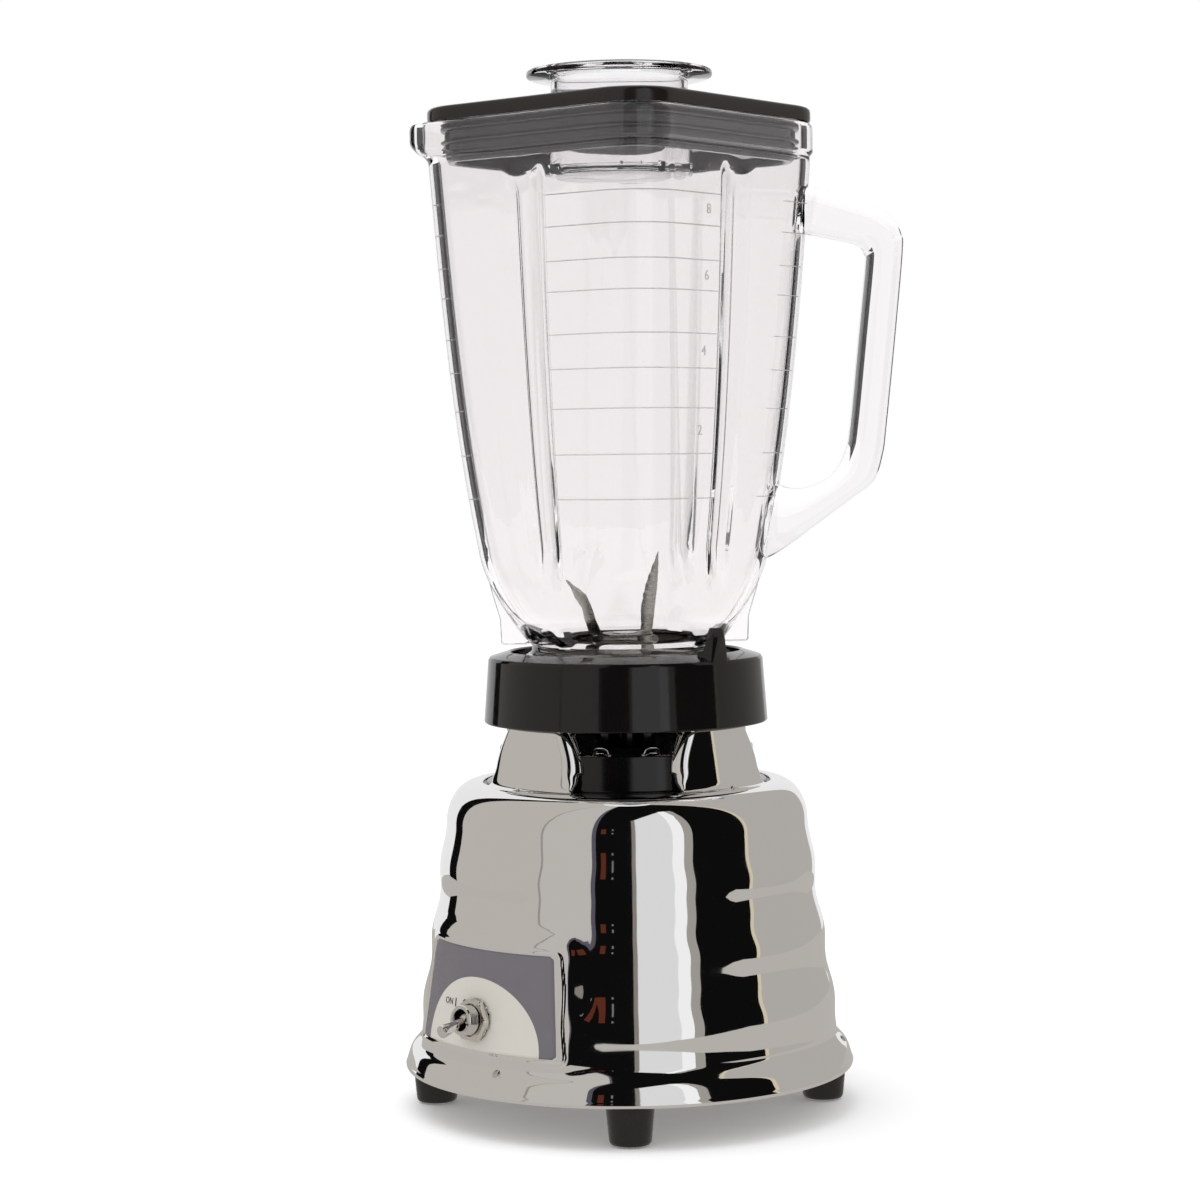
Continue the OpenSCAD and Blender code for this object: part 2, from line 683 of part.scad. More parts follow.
module filler_cap() {
    wall = 24.7;
    bore = 22.4;
    color([0.85, 0.86, 0.9, 0.4]) rotate([0, 0, jar_turn]) {
        rotate_extrude() polygon([
            [0, 334.5], [wall, 334.5], [wall, lid_top_z], [26.6, lid_top_z], [26.6, 360.6],
            [wall, 361.4], [wall, 369.2], [cap_flange_r - 0.6, 370.2], [cap_flange_r, 370.8],
            [cap_flange_r, cap_top_z - 0.4], [cap_flange_r - 0.4, cap_top_z], [bore, cap_top_z],
            [bore, 336.6], [0, 336.6]]);
        for (a = lid_turns) rotate([0, 0, a]) translate([wall - 1, -5.5, 334.5]) cube([4.2, 11, 4]);
    }
}

housing();
label_plate();
switch_body();
switch_terminals();
switch_bushing();
switch_nut();
base_plate();
shell_screws();
for (i = [0:3]) foot(i);
foot_screws();
cord_grommet();
drip_cover();
cover_screws();
upper_bracket();
lower_bracket();
bearing(101.5, 108);  // upper_bearing
bearing(38.5, 46);  // lower_bearing
stator_core();
field_coils();
brush_holders();
carbon_brushes();
motor_bolts();
motor_shaft();
armature_core();
armature_windings();
commutator();
cooling_fan();
slinger();
drive_stud();
switch_lever();
collar();
blade_bearing();
bearing_bush();
blade_shaft();
drive_socket();
thrust_washer();
lower_blade();
upper_blade();
sealing_ring();
glass_jar();
lid();
filler_cap();
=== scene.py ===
"""Countertop blender: the visible pieces, their materials, the studio and the camera.

Lengths in the functions that make pieces are millimetres; new_piece() turns them into metres.
Angles are degrees, and azimuths are measured from +X towards +Y.
"""

import bisect
import math

import bmesh
import bpy
from mathutils import Matrix, Vector


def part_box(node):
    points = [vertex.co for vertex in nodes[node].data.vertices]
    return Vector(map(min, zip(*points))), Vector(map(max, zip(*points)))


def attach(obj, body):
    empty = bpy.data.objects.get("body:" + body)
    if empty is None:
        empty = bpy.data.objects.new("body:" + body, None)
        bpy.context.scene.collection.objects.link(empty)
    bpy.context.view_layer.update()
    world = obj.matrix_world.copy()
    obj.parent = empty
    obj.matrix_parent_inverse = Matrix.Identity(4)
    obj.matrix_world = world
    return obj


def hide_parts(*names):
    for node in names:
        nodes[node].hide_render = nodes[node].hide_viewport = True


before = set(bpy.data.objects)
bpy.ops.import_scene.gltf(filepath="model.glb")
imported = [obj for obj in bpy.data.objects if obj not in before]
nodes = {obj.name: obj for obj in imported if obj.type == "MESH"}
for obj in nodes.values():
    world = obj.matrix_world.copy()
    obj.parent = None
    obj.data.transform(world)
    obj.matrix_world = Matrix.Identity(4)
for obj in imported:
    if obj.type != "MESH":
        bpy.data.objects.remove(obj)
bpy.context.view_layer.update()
MM = 0.001


def box_mm(node):
    low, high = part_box(node)
    return [c / MM for c in low], [c / MM for c in high]


# Driving dimensions, in millimetres, from the frame where it holds them
SHELL_LOW, SHELL_HIGH = box_mm("housing")
RIM_R = 81.4
RIM_Z = SHELL_LOW[2]
NECK_TOP_Z = SHELL_HIGH[2]
SHEET_T = 1.2
FLARE_TOP_Z = 27.5
WALL_FOOT_R = 75.9
WALL_SLOPE = 0.1445
RIPPLE = 0.6
RIPPLE_PITCH = 23.8
RIPPLE_CREST_Z = 64.05
SHOULDER_Z = 117.4
SHOULDER_ROUND = 11.0
SHOULDER_RISE = 15.0
TOP_FULLNESS = 0.9
NECK_R = 52.2
NECK_SLOPE = 0.2
NECK_LIP_R = 42.0
FOOT_FILLET = 2.0
WINDOW_HALF = 16.8
WINDOW_TOP_Z = 141.5
WINDOW_ANGLES = (45, 135, 225, 315)
COVER_RIM_Z = 130.0
PLATFORM_Z = 123.5
LABEL_Z = (29.2, 64.0)
LABEL_HALF = (34.0, 30.0)
FRAME_W = 2.2
FACE_R = 77.0
FACE_SLOPE = 0.1347
SWITCH_Z = 39.7
SWITCH_R = FACE_R - FACE_SLOPE * (SWITCH_Z - LABEL_Z[0]) + 0.4
SWITCH_TILT = math.degrees(math.atan(FACE_SLOPE))
LEVER_ANGLE = 20.0
PIVOT_OUT = 3.6
SLEEVE_R = 5.2
SLEEVE_OUT = 6.8
NUT_FLAT_R = 6.9
SLEEVE_BORE_R = 3.75
LEVER_REACH = 12.2
GROMMET_Z = 38.0
SHELL_SCREW_Z = 23
SHELL_SCREW_ANGLES = (-81, 39, 159)
COVER_SCREW_R = 13.7
FRAME_CORNER_R = 3.4
FRAME_BLEND = 8.0
FOOT_CIRCLE_R = 70.5
JAR_TURN = 5.7
JAR_TOP_Z = box_mm("glass_jar")[1][2]
JAR_FOOT_Z = box_mm("glass_jar")[0][2]
GLASS_T = 3.5
JAR_DIAG = 68.8
WAIST_R = 33.8
BODY_LOW_Z = 202.0
WAIST_Z = 165.5
CORNER_R = 22.0
FLUTE_D = 2.6
RIM_BEAD = 1.1
LID_TOP_Z = box_mm("lid")[1][2]
LID_HALF = 54.15
COLLAR_R = 51.4
COLLAR_Z = box_mm("collar")[0][2]
TAB_TOP_Z = box_mm("collar")[1][2]
TAB_ANGLE = -3.0
LOWER_T = 0.9
UPPER_T = 1.0
DISC_R = 10.4
SHAFT_HOLE_R = 4.0
BLADE_Z = box_mm("lower_blade")[1][2] - LOWER_T
CAMERA_SIDE = -45.0


# ---------------------------------------------------------------- small maths

def smooth(t):
    u = min(max(t, 0.0), 1.0)
    return u * u * (3 - 2 * u)


def mix(a, b, t):
    return a + (b - a) * t


def spread(low, high, count):
    """count + 1 even values from low to high."""
    return [mix(low, high, i / count) for i in range(count + 1)]


def turned(x, y, angle):
    a = math.radians(angle)
    return (x * math.cos(a) - y * math.sin(a), x * math.sin(a) + y * math.cos(a))


def polar(r, angle, z):
    a = math.radians(angle)
    return (r * math.cos(a), r * math.sin(a), z)


def through(values, count):
    """Rows of numbers that pass smoothly through the given rows, with count steps between two rows."""
    rows = []
    last = len(values) - 1
    for i in range(last):
        for k in range(count):
            t = k / count
            a, b = values[max(i - 1, 0)], values[i]
            c, d = values[i + 1], values[min(i + 2, last)]
            rows.append([
                0.5 * (2 * q + (r - p) * t + (2 * p - 5 * q + 4 * r - s) * t * t
                       + (3 * q - p - 3 * r + s) * t ** 3)
                for p, q, r, s in zip(a, b, c, d)])
    rows.append(list(values[last]))
    return rows


def rounded(points, closed=True, steps=5):
    """Points (x, y) or (x, y, radius); a corner with a radius becomes an arc."""
    out = []
    n = len(points)
    for i, point in enumerate(points):
        x, y, radius = (tuple(point) + (0.0,))[:3]
        corner = Vector((x, y))
        if radius == 0 or (not closed and i in (0, n - 1)):
            out.append((x, y))
            continue
        to_last = Vector(points[i - 1][:2]) - corner
        to_next = Vector(points[(i + 1) % n][:2]) - corner
        u, v = to_last.normalized(), to_next.normalized()
        half = u.angle(v) / 2
        reach = min(radius / math.tan(half), 0.49 * to_last.length, 0.49 * to_next.length)
        radius = reach * math.tan(half)
        centre = corner + (u + v).normalized() * (radius / math.sin(half))
        start = corner + u * reach - centre
        end = corner + v * reach - centre
        turn = math.atan2(start.x * end.y - start.y * end.x, start.dot(end))
        for k in range(steps + 1):
            a = turn * k / steps
            out.append((centre.x + start.x * math.cos(a) - start.y * math.sin(a),
                        centre.y + start.x * math.sin(a) + start.y * math.cos(a)))
    return out


def along(line, count):
    """count + 1 points at even distances along a line of (x, y) points."""
    total = [0.0]
    for p, q in zip(line, line[1:]):
        total.append(total[-1] + math.dist(p, q))
    out = []
    for target in spread(0, total[-1], count):
        i = min(max(bisect.bisect_left(total, target), 1), len(line) - 1)
        share = (target - total[i - 1]) / max(total[i] - total[i - 1], 1e-9)
        out.append(tuple(mix(a, b, share) for a, b in zip(line[i - 1], line[i])))
    return out


# ---------------------------------------------------------------- mesh helpers

class Sheet:
    """Vertices and faces gathered in millimetres."""

    def __init__(self):
        self.points = []
        self.faces = []

    def ring(self, points):
        start = len(self.points)
        self.points += [tuple(p) for p in points]
        return list(range(start, len(self.points)))

    def join(self, a, b, closed=True):
        n = max(len(a), len(b))
        for i in range(n if closed else n - 1):
            j = (i + 1) % n
            if len(a) == 1:
                self.faces.append((a[0], b[j], b[i]))
            elif len(b) == 1:
                self.faces.append((a[i], a[j], b[0]))
            else:
                self.faces.append((a[i], a[j], b[j], b[i]))

    def loft(self, rings, closed=True, loop=False):
        made = [self.ring(r) for r in rings]
        for a, b in zip(made, made[1:]):
            self.join(a, b, closed)
        if loop:
            self.join(made[-1], made[0], closed)
        return made

    def cap(self, ring):
        self.faces.append(tuple(ring))

    def tube(self, rings):
        """A loft with both ends closed."""
        made = self.loft(rings)
        self.cap(made[0])
        self.cap(made[-1])
        return self

    def add(self, other):
        base = len(self.points)
        self.points += other.points
        self.faces += [tuple(i + base for i in f) for f in other.faces]

    def moved(self, matrix):
        self.points = [tuple(matrix @ Vector(p)) for p in self.points]
        return self


def turned_profile(profile, steps=96, loop=False):
    """A surface of revolution about Z. A profile point on the axis closes the surface there."""
    sheet = Sheet()
    rings = []
    for r, z in profile:
        if r < 1e-6:
            rings.append([(0, 0, z)])
        else:
            rings.append([polar(r, 360 * i / steps, z) for i in range(steps)])
    sheet.loft(rings, loop=loop)
    return sheet


def extruded(outline, half):
    """A closed (x, y) outline from -half to +half along Z."""
    return Sheet().tube([[(x, y, z) for x, y in outline] for z in (-half, half)])


def new_object(name, sheet, merge=0.0):
    mesh = bpy.data.meshes.new(name)
    mesh.from_pydata([[c * MM for c in p] for p in sheet.points], [], sheet.faces)
    shape = bmesh.new()
    shape.from_mesh(mesh)
    if merge:
        bmesh.ops.remove_doubles(shape, verts=shape.verts, dist=merge * MM)
    bmesh.ops.recalc_face_normals(shape, faces=shape.faces)
    shape.to_mesh(mesh)
    shape.free()
    piece = bpy.data.objects.new(name, mesh)
    bpy.context.scene.collection.objects.link(piece)
    return piece


def dress(piece, material, body, replaced=(), sharp=35):
    """Gives a piece its material and its body, and smooth shading between sharp edges."""
    mesh = piece.data
    mesh.materials.clear()
    mesh.materials.append(material)
    for face in mesh.polygons:
        face.use_smooth = True
    mesh.set_sharp_from_angle(angle=math.radians(sharp))
    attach(piece, body)
    if replaced:
        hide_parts(*replaced)
    return piece


def new_piece(name, sheet, material, body, replaced=(), sharp=35, merge=0.0):
    return dress(new_object(name, sheet, merge), material, body, replaced, sharp)


def solidify(piece, thickness):
    modifier = piece.modifiers.new("sheet", "SOLIDIFY")
    modifier.thickness = thickness * MM
    modifier.offset = -1
    return piece


def unite(piece, others):
    """Joins other closed meshes to a closed mesh, and removes them."""
    for other in others:
        modifier = piece.modifiers.new("join", "BOOLEAN")
        modifier.operation = "UNION"
        modifier.solver = "EXACT"
        modifier.object = other
    bpy.context.view_layer.update()
    done = piece.evaluated_get(bpy.context.evaluated_depsgraph_get())
    mesh = bpy.data.meshes.new_from_object(done)
    piece.modifiers.clear()
    piece.data = mesh
    for other in others:
        bpy.data.objects.remove(other)
    return piece


def switch_frame(out=0.0, tip=0.0):
    """Matrix of the switch: +Z out of the label, +Y up it, moved out and tipped about X."""
    lean = math.radians(90 - SWITCH_TILT)
    place = Matrix.Translation((0, -SWITCH_R, SWITCH_Z)) @ Matrix.Rotation(lean, 4, "X")
    return place @ Matrix.Translation((0, 0, out)) @ Matrix.Rotation(math.radians(tip), 4, "X")


# ---------------------------------------------------------------- materials

def add_node(tree, kind, inputs, **settings):
    """A node of the tree. Each input gets a value, or a link from another node's output."""
    made = tree.nodes.new("ShaderNode" + kind)
    for key, value in settings.items():
        setattr(made, key, value)
    for key, value in inputs.items():
        if isinstance(value, bpy.types.NodeSocket):
            tree.links.new(value, made.inputs[key])
        else:
            made.inputs[key].default_value = value
    return made


def surface(name, colour, metallic=0.0, roughness=0.4, vary=0.12, uneven=0.08, grain=350.0,
            bump=0.05, stretch=(1, 1, 1), patch=None, **sockets):
    """A material whose colour, roughness and height vary with noise in the object's own space."""
    made = bpy.data.materials.new(name)
    made.use_nodes = True
    tree = made.node_tree
    shader = tree.nodes["Principled BSDF"]
    place = add_node(tree, "TexCoord", {})
    scaled = add_node(tree, "Mapping", {"Vector": place.outputs["Object"], "Scale": stretch})
    scaled = scaled.outputs["Vector"]
    fine = add_node(tree, "TexNoise", {"Vector": scaled, "Scale": grain, "Detail": 4}).outputs["Fac"]
    broad = add_node(tree, "TexNoise", {"Vector": scaled, "Scale": grain / 9, "Detail": 2}).outputs["Fac"]
    base = add_node(tree, "Mix", {
        "A": [c * (1 - vary) for c in colour] + [1],
        "B": [min(c * (1 + vary), 1) for c in colour] + [1],
        "Factor": broad}, data_type="RGBA").outputs["Result"]
    if patch:
        base = patch(tree, place, base)
    rough = add_node(tree, "MapRange", {
        "Value": fine, "From Min": 0.3, "From Max": 0.7,
        "To Min": max(roughness - uneven, 0), "To Max": min(roughness + uneven, 1)})
    relief = add_node(tree, "Bump", {"Strength": bump, "Distance": 0.0004, "Height": fine})
    tree.links.new(base, shader.inputs["Base Color"])
    tree.links.new(rough.outputs["Result"], shader.inputs["Roughness"])
    tree.links.new(relief.outputs["Normal"], shader.inputs["Normal"])
    shader.inputs["Metallic"].default_value = metallic
    for socket, value in sockets.items():
        shader.inputs[socket.replace("_", " ")].default_value = value
    return made


def label_print(tree, place, base):
    """The pale half-oval field printed on the grey panel, round the switch."""
    centre_z, half_width, height = 29.4 * MM, 27.9 * MM, 24.9 * MM
    shift = add_node(tree, "VectorMath", {0: place.outputs["Object"], 1: (0, 0, centre_z)},
                     operation="SUBTRACT")
    flat = add_node(tree, "VectorMath", {0: shift.outputs[0], 1: (1 / half_width, 0, 1 / height)},
                    operation="MULTIPLY")
    length = add_node(tree, "VectorMath", {0: flat.outputs[0]}, operation="LENGTH")
    edge = add_node(tree, "MapRange", {
        "Value": length.outputs["Value"], "From Min": 0.997, "From Max": 1.003, "To Min": 1, "To Max": 0})
    field = add_node(tree, "Mix", {
        "A": base, "B": (0.56, 0.53, 0.48, 1), "Factor": edge.outputs["Result"]}, data_type="RGBA")
    return field.outputs["Result"]


CHROME = surface("chrome_plate", (0.93, 0.92, 0.905), 1.0, 0.03, vary=0.02, uneven=0.02, grain=90,
                 bump=0.012)
LABEL = surface("label_print", (0.135, 0.125, 0.14), 0.0, 0.38, vary=0.05, grain=900, bump=0.03,
                patch=label_print)
INK = surface("label_ink", (0.09, 0.085, 0.09), 0.0, 0.45, grain=900)
NICKEL = surface("switch_nickel", (0.78, 0.76, 0.72), 1.0, 0.16, vary=0.06, grain=700, bump=0.08)
LEVER_STEEL = surface("lever_steel", (0.82, 0.8, 0.77), 1.0, 0.09, vary=0.04, grain=500, bump=0.04)
SWITCH_PLASTIC = surface("switch_moulding", (0.03, 0.03, 0.032), 0.0, 0.5)
TERMINAL = surface("terminal_brass", (0.72, 0.56, 0.28), 1.0, 0.3)
PLATE = surface("plate_zinc", (0.42, 0.42, 0.42), 1.0, 0.38, vary=0.12, grain=260, bump=0.12)
SCREW = surface("screw_steel", (0.72, 0.71, 0.69), 1.0, 0.22, grain=800, bump=0.1)
FOOT = surface("foot_rubber", (0.007, 0.0055, 0.005), 0.0, 0.3, vary=0.2, uneven=0.08, grain=500, bump=0.06)
GROMMET = surface("grommet_rubber", (0.02, 0.019, 0.018), 0.0, 0.55, grain=900, bump=0.1)
COVER = surface("cover_plastic", (0.0025, 0.0022, 0.0022), 0.0, 0.12, uneven=0.03, grain=900, bump=0.005)
BLACK_STEEL = surface("blackened_steel", (0.02, 0.019, 0.018), 1.0, 0.35, grain=700, bump=0.04)
CASTING = surface("bracket_casting", (0.55, 0.55, 0.54), 1.0, 0.5, vary=0.15, grain=500, bump=0.3)
BRONZE = surface("sintered_bronze", (0.6, 0.4, 0.22), 1.0, 0.4, grain=1600, bump=0.2)
LAMINATION = surface("laminations", (0.32, 0.32, 0.34), 1.0, 0.45, grain=120, bump=0.5,
                     stretch=(0.2, 0.2, 14))
WINDING = surface("copper_winding", (0.62, 0.28, 0.12), 1.0, 0.3, vary=0.25, grain=160, bump=0.6,
                  stretch=(8, 8, 1))
BRASS = surface("brush_brass", (0.72, 0.55, 0.28), 1.0, 0.3)
CARBON = surface("brush_carbon", (0.03, 0.03, 0.03), 0.0, 0.7, grain=1500, bump=0.2)
SHAFT = surface("ground_steel", (0.62, 0.61, 0.6), 1.0, 0.24, grain=500, bump=0.15, stretch=(1, 1, 9))
FAN = surface("fan_plastic", (0.05, 0.05, 0.055), 0.0, 0.5)
COLLAR = surface("collar_plastic", (0.0045, 0.004, 0.0038), 0.0, 0.08, vary=0.15, uneven=0.04,
                 grain=420, bump=0.01)
BLADE = surface("blade_steel", (0.3, 0.29, 0.262), 1.0, 0.3, vary=0.2, uneven=0.1, grain=260, bump=0.16,
                stretch=(1, 1, 5))
SEAL = surface("seal_rubber", (0.5, 0.48, 0.44), 0.0, 0.55, grain=700, bump=0.1)
GLASS = surface("pressed_glass", (0.935, 0.915, 0.918), 0.0, 0.012, vary=0.01, uneven=0.012, grain=45,
                bump=0.03, Transmission_Weight=1.0, IOR=1.5)
GLASS_MARK = surface("glass_marks", (0.72, 0.7, 0.7), 0.0, 0.18, vary=0.1, grain=900, bump=0.05,
                     Transmission_Weight=0.85, IOR=1.45)
LID = surface("lid_vinyl", (0.012, 0.0095, 0.009), 0.0, 0.16, vary=0.15, uneven=0.04, grain=320, bump=0.008)
CAP = surface("cap_clear", (0.93, 0.92, 0.93), 0.0, 0.03, vary=0.02, uneven=0.02, grain=80, bump=0.05,
              Transmission_Weight=1.0, IOR=1.4)

CAD_FINISH = {
    "switch_body": SWITCH_PLASTIC, "switch_terminals": TERMINAL, "base_plate": PLATE,
    "foot_screws": SCREW, "upper_bracket": CASTING, "lower_bracket": CASTING,
    "upper_bearing": BRONZE, "lower_bearing": BRONZE, "bearing_bush": BRONZE,
    "stator_core": LAMINATION, "armature_core": LAMINATION, "field_coils": WINDING,
    "armature_windings": WINDING, "commutator": WINDING, "brush_holders": BRASS,
    "carbon_brushes": CARBON, "motor_bolts": SCREW, "motor_shaft": SHAFT, "cooling_fan": FAN,
    "slinger": COVER, "drive_stud": BLACK_STEEL, "drive_socket": COVER, "thrust_washer": BRASS,
    "blade_shaft": SHAFT, "sealing_ring": SEAL,
}


# ---------------------------------------------------------------- motor base

def wall_r(z):
    ripple = RIPPLE * math.cos(2 * math.pi * (z - RIPPLE_CREST_Z) / RIPPLE_PITCH)
    return WALL_FOOT_R - WALL_SLOPE * (z - 28) + ripple + TOP_FULLNESS * smooth((z - 80) / 20)


# The foot of the shell, as (height, radius): a steep band at the rim, then a slope like a roof's
FOOT_LINE = [(14, RIM_R), (16.5, 80.95), (19, 80.2), (20.6, 79.6), (21.8, 78.9), (22.8, 78.0), (24, 76.9),
             (25, 76.05), (25.9, 75.55), (FLARE_TOP_Z, wall_r(FLARE_TOP_Z))]


def shell_r(z):
    """Radius of the wall, and below it of a smooth line through the foot's points."""
    if z >= FLARE_TOP_Z:
        return wall_r(z)
    last = len(FOOT_LINE) - 1
    i = min(max(bisect.bisect_right([point[0] for point in FOOT_LINE], z), 1), last)
    (z0, r0), (z1, r1) = FOOT_LINE[i - 1], FOOT_LINE[i]
    before, after = FOOT_LINE[max(i - 2, 0)], FOOT_LINE[min(i + 1, last)]
    step, t = z1 - z0, (z - z0) / (z1 - z0)
    slope0 = (r1 - before[1]) / (z1 - before[0]) * step
    slope1 = (after[1] - r0) / (after[0] - z0) * step
    return ((2 * t ** 3 - 3 * t * t + 1) * r0 + (t ** 3 - 2 * t * t + t) * slope0
            + (3 * t * t - 2 * t ** 3) * r1 + (t ** 3 - t * t) * slope1)


def face_r(z):
    return FACE_R - FACE_SLOPE * (z - LABEL_Z[0])


def inside_frame(x, z):
    """How far a point on the front lies inside the outer edge of the label's frame."""
    low, high = LABEL_Z[0] - FRAME_W, LABEL_Z[1] + FRAME_W
    t = (z - low) / (high - low)
    half = mix(LABEL_HALF[0], LABEL_HALF[1], t) + FRAME_W
    qx = abs(x) - (half - FRAME_CORNER_R)
    qz = abs(z - (low + high) / 2) - ((high - low) / 2 - FRAME_CORNER_R)
    return FRAME_CORNER_R - min(max(qx, qz), 0) - math.hypot(max(qx, 0), max(qz, 0))


def front_r(r, angle, z):
    """Radius of the shell with the label's raised frame pressed into it."""
    x = r * math.sin(math.radians(angle + 90))
    if math.cos(math.radians(angle + 90)) < 0.5 or not 20 < z < 72:
        return r
    inside = inside_frame(x, z)
    raised = smooth((inside + FRAME_BLEND) / FRAME_BLEND)
    border = smooth(inside / 0.7) * smooth((FRAME_W + 0.1 - inside) / 0.7)
    return r + max(face_r(z) - r, 0) * raised + 0.4 * border


def neck_r_at(z):
    return NECK_R - NECK_SLOPE * (z - SHOULDER_Z - 1)


NECK_LEAN = math.atan(NECK_SLOPE)
FILLET_TURN = math.pi / 2 - NECK_LEAN
FILLET_Z = SHOULDER_Z + FOOT_FILLET
FILLET_R = neck_r_at(FILLET_Z) + FOOT_FILLET / math.cos(NECK_LEAN)
FILLET_LENGTH = FOOT_FILLET * FILLET_TURN
FILLET_END_Z = FILLET_Z - FOOT_FILLET * math.cos(FILLET_TURN)


def neck_point(h):
    """(radius, height) at the distance h up the neck from the shoulder, over the fillet."""
    if h < FILLET_LENGTH:
        a = h / FOOT_FILLET
        return FILLET_R - FOOT_FILLET * math.sin(a), FILLET_Z - FOOT_FILLET * math.cos(a)
    z = FILLET_END_Z + (h - FILLET_LENGTH) * math.cos(NECK_LEAN)
    return neck_r_at(z), z


def neck_normal(h):
    a = min(h / FOOT_FILLET, FILLET_TURN)
    return math.sin(a), math.cos(a)


def neck_length(z):
    return FILLET_LENGTH + (z - FILLET_END_Z) / math.cos(NECK_LEAN)


def window_half(z):
    """Half a window's width: waisted, wider at the shoulder and under the collar."""
    waist_z = 126.0
    if z < waist_z:
        return WINDOW_HALF + 2.2 * ((waist_z - z) / 8) ** 2
    return WINDOW_HALF + 3.8 * smooth((z - waist_z) / (WINDOW_TOP_Z - waist_z))


def roll_radius(z):
    """Radius of a window's rolled edge: small along the sill and the top, large up the pillars."""
    return 1.2 + 4.2 * smooth((z - 118) / 6) - 4.2 * smooth((z - 138.5) / 3)


def roll_turn(z):
    """How far the edge turns inward, in degrees."""
    return mix(90, 72, smooth((z - 118) / 6))


def window_outline(steps_low, steps_side, steps_top):
    """Where the rolled edge starts, as (sideways, h) points, anticlockwise from the lower left corner."""
    sill_h = FOOT_FILLET * math.radians(16)
    top_h = neck_length(WINDOW_TOP_Z)
    side = [(window_half(z) + roll_radius(z) * math.sin(math.radians(roll_turn(z))), neck_length(z))
            for z in spread(120.5, 138.5, 10)]
    low_corner = (window_half(118) + roll_radius(118), sill_h)
    top_corner = (window_half(WINDOW_TOP_Z) + roll_radius(WINDOW_TOP_Z), top_h)
    line = rounded([(0, sill_h), low_corner + (3.0,)] + side + [top_corner + (3.0,), (0, top_h)], False, 10)
    first = min(range(len(line)), key=lambda i: math.dist(line[i], low_corner))
    second = min(range(len(line)), key=lambda i: math.dist(line[i], top_corner))
    low = along(line[:first + 1], steps_low // 2)
    up = along(line[first:second + 1], steps_side)
    top = along(line[second:], steps_top // 2)
    mirror = [[(-x, h) for x, h in part] for part in (low, up, top)]
    return (mirror[0][::-1][:-1] + low[:-1] + up[:-1] + top[:-1]
            + mirror[2][::-1][:-1] + mirror[1][::-1][:-1])


def column_angles():
    """Offsets of a quarter's columns from its window: finer where the label's frame lies."""
    parts = [(-45, -23, 14), (-23, -14.6, 24), (-14.6, 14.6, 15), (14.6, 23, 24), (23, 45, 14)]
    out = []
    for low, high, count in parts:
        out += spread(low, high, count)[:-1]
    return out + [45.0]


def shell_rows():
    rows = [(RIM_R - 0.9, RIM_Z), (RIM_R - 0.45, RIM_Z + 0.12), (RIM_R - 0.18, RIM_Z + 0.42),
            (RIM_R - 0.04, RIM_Z + 0.9), (RIM_R, RIM_Z + 1.4)]
    mid_z = SHOULDER_Z - SHOULDER_RISE
    heights = spread(RIM_Z + 2, 20, 6)[:-1] + spread(20, 31, 28)[:-1] + spread(31, 60.4, 18)[:-1]
    heights += spread(60.4, 68.4, 18)[:-1] + spread(68.4, mid_z, 24)[:-1]
    rows += [(shell_r(z), z) for z in heights]
    mid_r = wall_r(mid_z) - SHOULDER_ROUND
    rows += [(mid_r + SHOULDER_ROUND * math.cos(math.radians(a)),
              mid_z + SHOULDER_RISE * math.sin(math.radians(a))) for a in spread(0, 90, 16)[:-1]]
    return rows + [neck_point(0)]


def neck_quarter(sheet, centre, columns):
    """The neck round one window: the sheet from the pillars to the window, and its rolled edge."""
    side_steps, top_steps, rings = 26, 40, 9
    top_h = neck_length(NECK_TOP_Z - 1)
    low = [(centre + c, 0.0) for c in columns]
    up = [(centre + 45, h) for h in spread(0, top_h, side_steps)]
    top = [(centre + c, top_h) for c in spread(45, -45, top_steps)]
    down = [(centre - 45, h) for h in spread(top_h, 0, side_steps)]
    outer = low[:-1] + up[:-1] + top[:-1] + down[:-1]
    inner = []
    for x, h in window_outline(len(columns) - 1, side_steps, top_steps):
        inner.append((centre + math.degrees(math.asin(x / neck_point(h)[0])), h))
    made = []
    for k in range(rings + 1):
        t = 1 - (1 - k / rings) ** 1.4
        ring = []
        for (a, h), (b, g) in zip(outer, inner):
            r, z = neck_point(mix(h, g, t))
            ring.append(polar(r, mix(a, b, t), z))
        made.append(ring)
    edge = [Vector(p) for p in made[-1]]
    count = len(edge)
    rolls = []
    middle = Vector(polar(neck_point(10)[0], centre, 129))
    for i, point in enumerate(edge):
        across, upward = neck_normal(inner[i][1])
        normal = Vector(polar(across, inner[i][0], upward))
        tangent = edge[(i + 1) % count] - edge[i - 1]
        into = normal.cross(tangent).normalized()
        if into.dot(middle - point) < 0:
            into = -into
        rolls.append((point, normal, into, roll_radius(point.z)))
    for share in spread(0, 1, 12)[1:]:
        ring = []
        for p, n, t, r in rolls:
            a = math.radians(share * roll_turn(p.z))
            ring.append(p + t * (r * math.sin(a)) - n * (r * (1 - math.cos(a))))
        made.append(ring)
    last = made[-1]
    before = made[-2]
    made.append([q + (q - Vector(o)).normalized() * 0.8 for q, o in zip(last, before)])
    sheet.loft(made)


